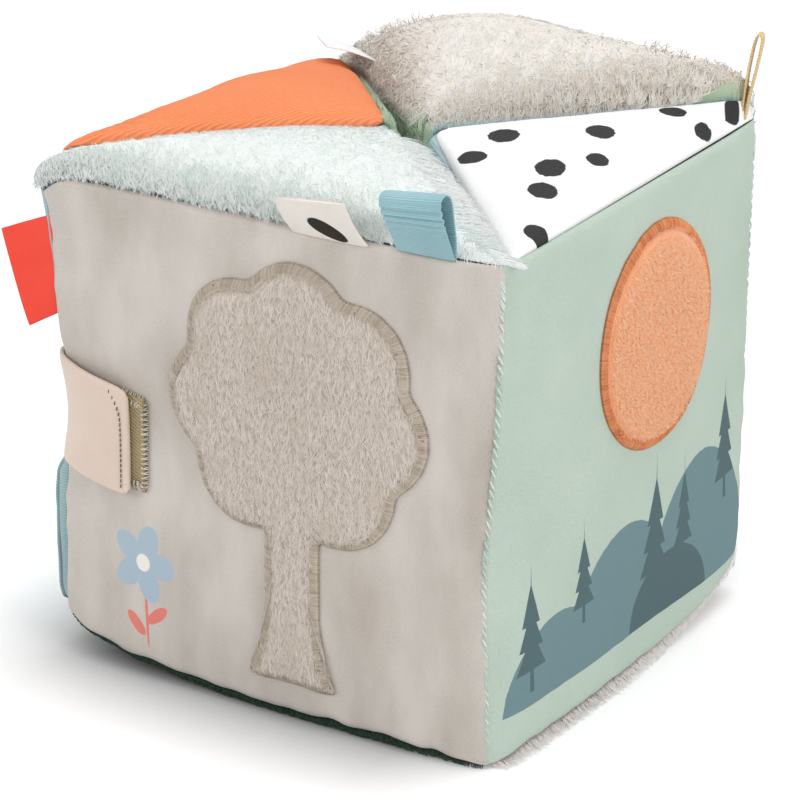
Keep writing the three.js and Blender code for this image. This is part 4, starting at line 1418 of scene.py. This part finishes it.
peach_satin = cloth_finish(
    "peach_satin", "cdb5a4", "e6d4c6", thread=0.25, roughness=0.5, sheen=0.1, bump=0.12, size=22
)
strap_plan = smooth_run(
    [
        (-79.2, -50), (-78.6, -58), (-77.4, -66), (-75.9, -72.6), (-73.4, -76.2), (-68, -78.6),
        (-60, -80.6), (-50.2, -81.6), (-44.0, -81.6),
    ],
    90,
)
strap_share = np.linspace(0, 1, 90)
strap_middle = np.interp(strap_share, [0, 0.4, 0.52, 1], [75.5, 78.0, 77.6, 74.4])
strap_half = np.interp(strap_share, [0, 0.5, 0.94, 0.98, 1], [16.2, 16.6, 16.4, 15.8, 14.0])
strap_run = np.concatenate([strap_plan, strap_middle[:, None]], 1)
strap_thick = np.interp(strap_share, [0, 0.05, 0.90, 0.955, 0.978, 1], [0.5, 1.0, 1.3, 0.7, 0.95, 0.6])
strap = strip(
    "closing_strap", strap_run, UPRIGHT, strap_half, strap_thick, peach_satin, None,
    "closing_strap", rows=26,
)
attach(strap, "strap")

dark_thread = thread_finish("dark_thread", "4a4038", "7f7266")


def run_stitches(name, starts, ends, out, width, finish, parent, lift, levels=5, sides=4):
    """Single stitches from starts to ends, each a low arc that stands out by lift."""
    t = np.linspace(0, 1, levels)[None, :, None]
    curves = starts[:, None] + (ends - starts)[:, None] * t + lift * np.asarray(out) * 4 * t * (1 - t)
    widths = np.full(curves.shape[:2], width)
    return strands(name, settled(curves), widths, finish, parent, sides=sides)


seam_point = strap_run[85]
ups = np.linspace(-14.2, 14.2, 19)
drawn_in = -4.0 * np.maximum(0.0, (ups - 5) / 10) ** 2
starts = seam_point + np.stack([drawn_in, np.full(len(ups), -0.85), ups], 1)
ends = starts + np.array([0.1, 0.0, 1.1])
run_stitches("strap_stitches", starts, ends, (0.15, -1.0, 0.0), 0.38, dark_thread, strap, 0.2)

olive_tape = cloth_finish(
    "olive_tape", "75644a", "c3b08a", thread=1.06, ribs=73, roughness=0.85, bump=0.8, size=10
)
tape_middle = on_face("front", np.linspace(-56.0, -39.6, 26), np.linspace(75.6, 74.0, 26), 0.9)
tape = strip(
    "strap_loop_tape", tape_middle, UPRIGHT, 14.4, 0.6, olive_tape, fillings["front"],
    "strap_loop_tape", rows=26,
)
hook_middle = on_face("front", np.linspace(-57.0, -45.5, 16), np.full(16, 73.0), 2.3)
hook = strip(
    "strap_hook_tape", hook_middle, UPRIGHT, 13.0, 0.5, olive_tape, None, "strap_hook_tape",
    rows=26,
)
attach(hook, "strap")

# Zigzag stitches go over the loop tape's free edges, along an open run of places on the face.
pale_thread = thread_finish("pale_thread", "9c9281", "f2ede2")
tape_edge = np.array(
    [(-47.5, 60.2), (-40.8, 59.8), (-39.4, 61.8), (-39.4, 86.0), (-40.8, 88.2), (-47.5, 89.8)]
)
reach = travelled(tape_edge)
places = np.arange(0, reach[-1], 0.75)
run = points_at(tape_edge, places)
ahead = unit(np.gradient(run, axis=0))
side = np.stack([-ahead[:, 1], ahead[:, 0]], 1)
zig = np.where(np.arange(len(run)) % 2 == 0, -0.6, 0.6)[:, None]
inward = np.interp(places, reach, [3.0, 3.0, 1.0, 1.0, 3.2, 3.2])[:, None]
first, last = run - 0.5 * side, run + side * inward + ahead * zig
starts = on_face("front", first[:, 0], first[:, 1], 0.3)
ends = on_face("front", last[:, 0], last[:, 1], 1.7)
run_stitches("tape_overlock", starts, ends, (0.0, -1.0, 0.0), STITCH, pale_thread, tape, 0.5)

# Whipped hinges. Three upright edges are laced together with thread, over and over, from the floor to
# the top seams.

edge_thread = thread_finish("edge_thread", "a3bdb4", "eaf2ed")
EDGE_IN, FACE_OUT = HALF - 0.8, HALF + 0.1
heights = np.concatenate([np.arange(8.0, 143.0, 3.0), np.arange(138.5, 143.5, 0.8)])
uneven = np.random.default_rng(7).normal(size=len(heights)) * 0.25
for name, side_x, side_y, first_body, second_body, away, to in (
    ("front_hinge_thread", 1, -1, "right_cushion", "front_cushion", (0, 1, 0), (-1, 0, 0)),
    ("back_hinge_thread", 1, 1, "right_cushion", "back_cushion", (0, -1, 0), (-1, 0, 0)),
    ("left_hinge_thread", -1, 1, "back_cushion", "left_cushion", (1, 0, 0), (0, -1, 0)),
):
    one, other = (
        np.stack([x * side_x + 0 * heights, y * side_y + 0 * heights, heights + higher + uneven], 1)
        for x, y, higher in ((EDGE_IN, FACE_OUT, 2.7), (FACE_OUT, EDGE_IN, 0.0))
    )
    out = (0.7 * side_x, 0.7 * side_y, 0.0)
    lace = run_stitches(
        name + "_lace", one, other, out, 0.6, edge_thread, None, 0.6, levels=7, sides=5
    )
    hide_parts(name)
    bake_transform(lace)

# Fuzz in the gaps: loose fibres of the inner cloths that stand up between the tops, green beside the
# orange, teal beside the spotted top, and the bottoms' pile that shows under the seams.

for name, cushion, side, root, tip, slot in (
    ("green_fuzz", "left", "left", "7fa67a", "cfe0c4", "green_cotton"),
    ("back_green_fuzz", "back", "right", "8fb08a", "d3e2c9", "green_cotton"),
    ("teal_fuzz", "right", "right", "6f9aa3", "b9d3d6", "teal_velour"),
):
    grow_pile(
        name, bpy.data.objects[f"{cushion}_{side}_cover"], 2600, 61, pile_finish(name, root, tip), slot,
        0.45, 3.4, (0.0, 0.0, 1.0), weight=lambda p: np.exp(-np.clip(156 - p[:, 2], 0, 99) / 3.0),
        rise=0.4, wave=0.6, lock=0.5, lock_size=2.5, levels=3,
    )

# The front bottom's pile is dark green plush made darker still, as painted shade in the gap under the cube's
# front.
for name, cushion, facing, root, tip, slot, length, out_at, rise in (
    ("forest_pile", "front", (0, -1), "1d2c24", "466050", "forest_plush", 2.2, 7.0, 0.2),
    ("pink_pile", "right", (1, 0), "f0e4df", "fffdfc", "pink_plush", 8.0, 5.0, 0.55),
    ("mint_bottom_pile", "back", (0, 1), "b5c7bf", "eef4f1", "mint_plush", 3.0, 4.0, 0.3),
):
    grow_pile(
        name, bottoms[cushion], 2700, 71, pile_finish(name, root, tip), slot, 0.5,
        lambda p: length * np.clip(0.9 - p @ np.array([*facing[::-1], 0]) / HALF, 0.25, 1.0),
        (0.0, 0.0, -1.0),
        weight=lambda p: np.exp(-np.clip(HALF + out_at - p @ np.array([*facing, 0]), 0, 99) / 3.0),
        facing=(*facing, 0.0), lay=unit(np.array([*facing, 0.9])), rise=rise, wave=0.5, lock=0.6,
        lock_size=4.0,
    )

# Sound makers in the stuffing: two smooth moulded cases, a rattle in front and a squeaker on the right.

casing, tree, shader = new_finish("moulded_case", 0.4, 0.5)
place = add_node(tree, "ShaderNodeTexCoord").outputs["Object"]
shades = blend_paint(tree, cloud(tree, place, 60.0, 4.0), paint("dcdcdd"), paint("f3f3f4"))
tree.links.new(shades, shader.inputs["Base Color"])
add_relief(tree, shader, cloud(tree, place, 2500.0), 0.1, 0.0001)
for node in ("rattle_case", "squeaker_case"):
    for slot in frame["nodes"][node].material_slots:
        slot.material = casing
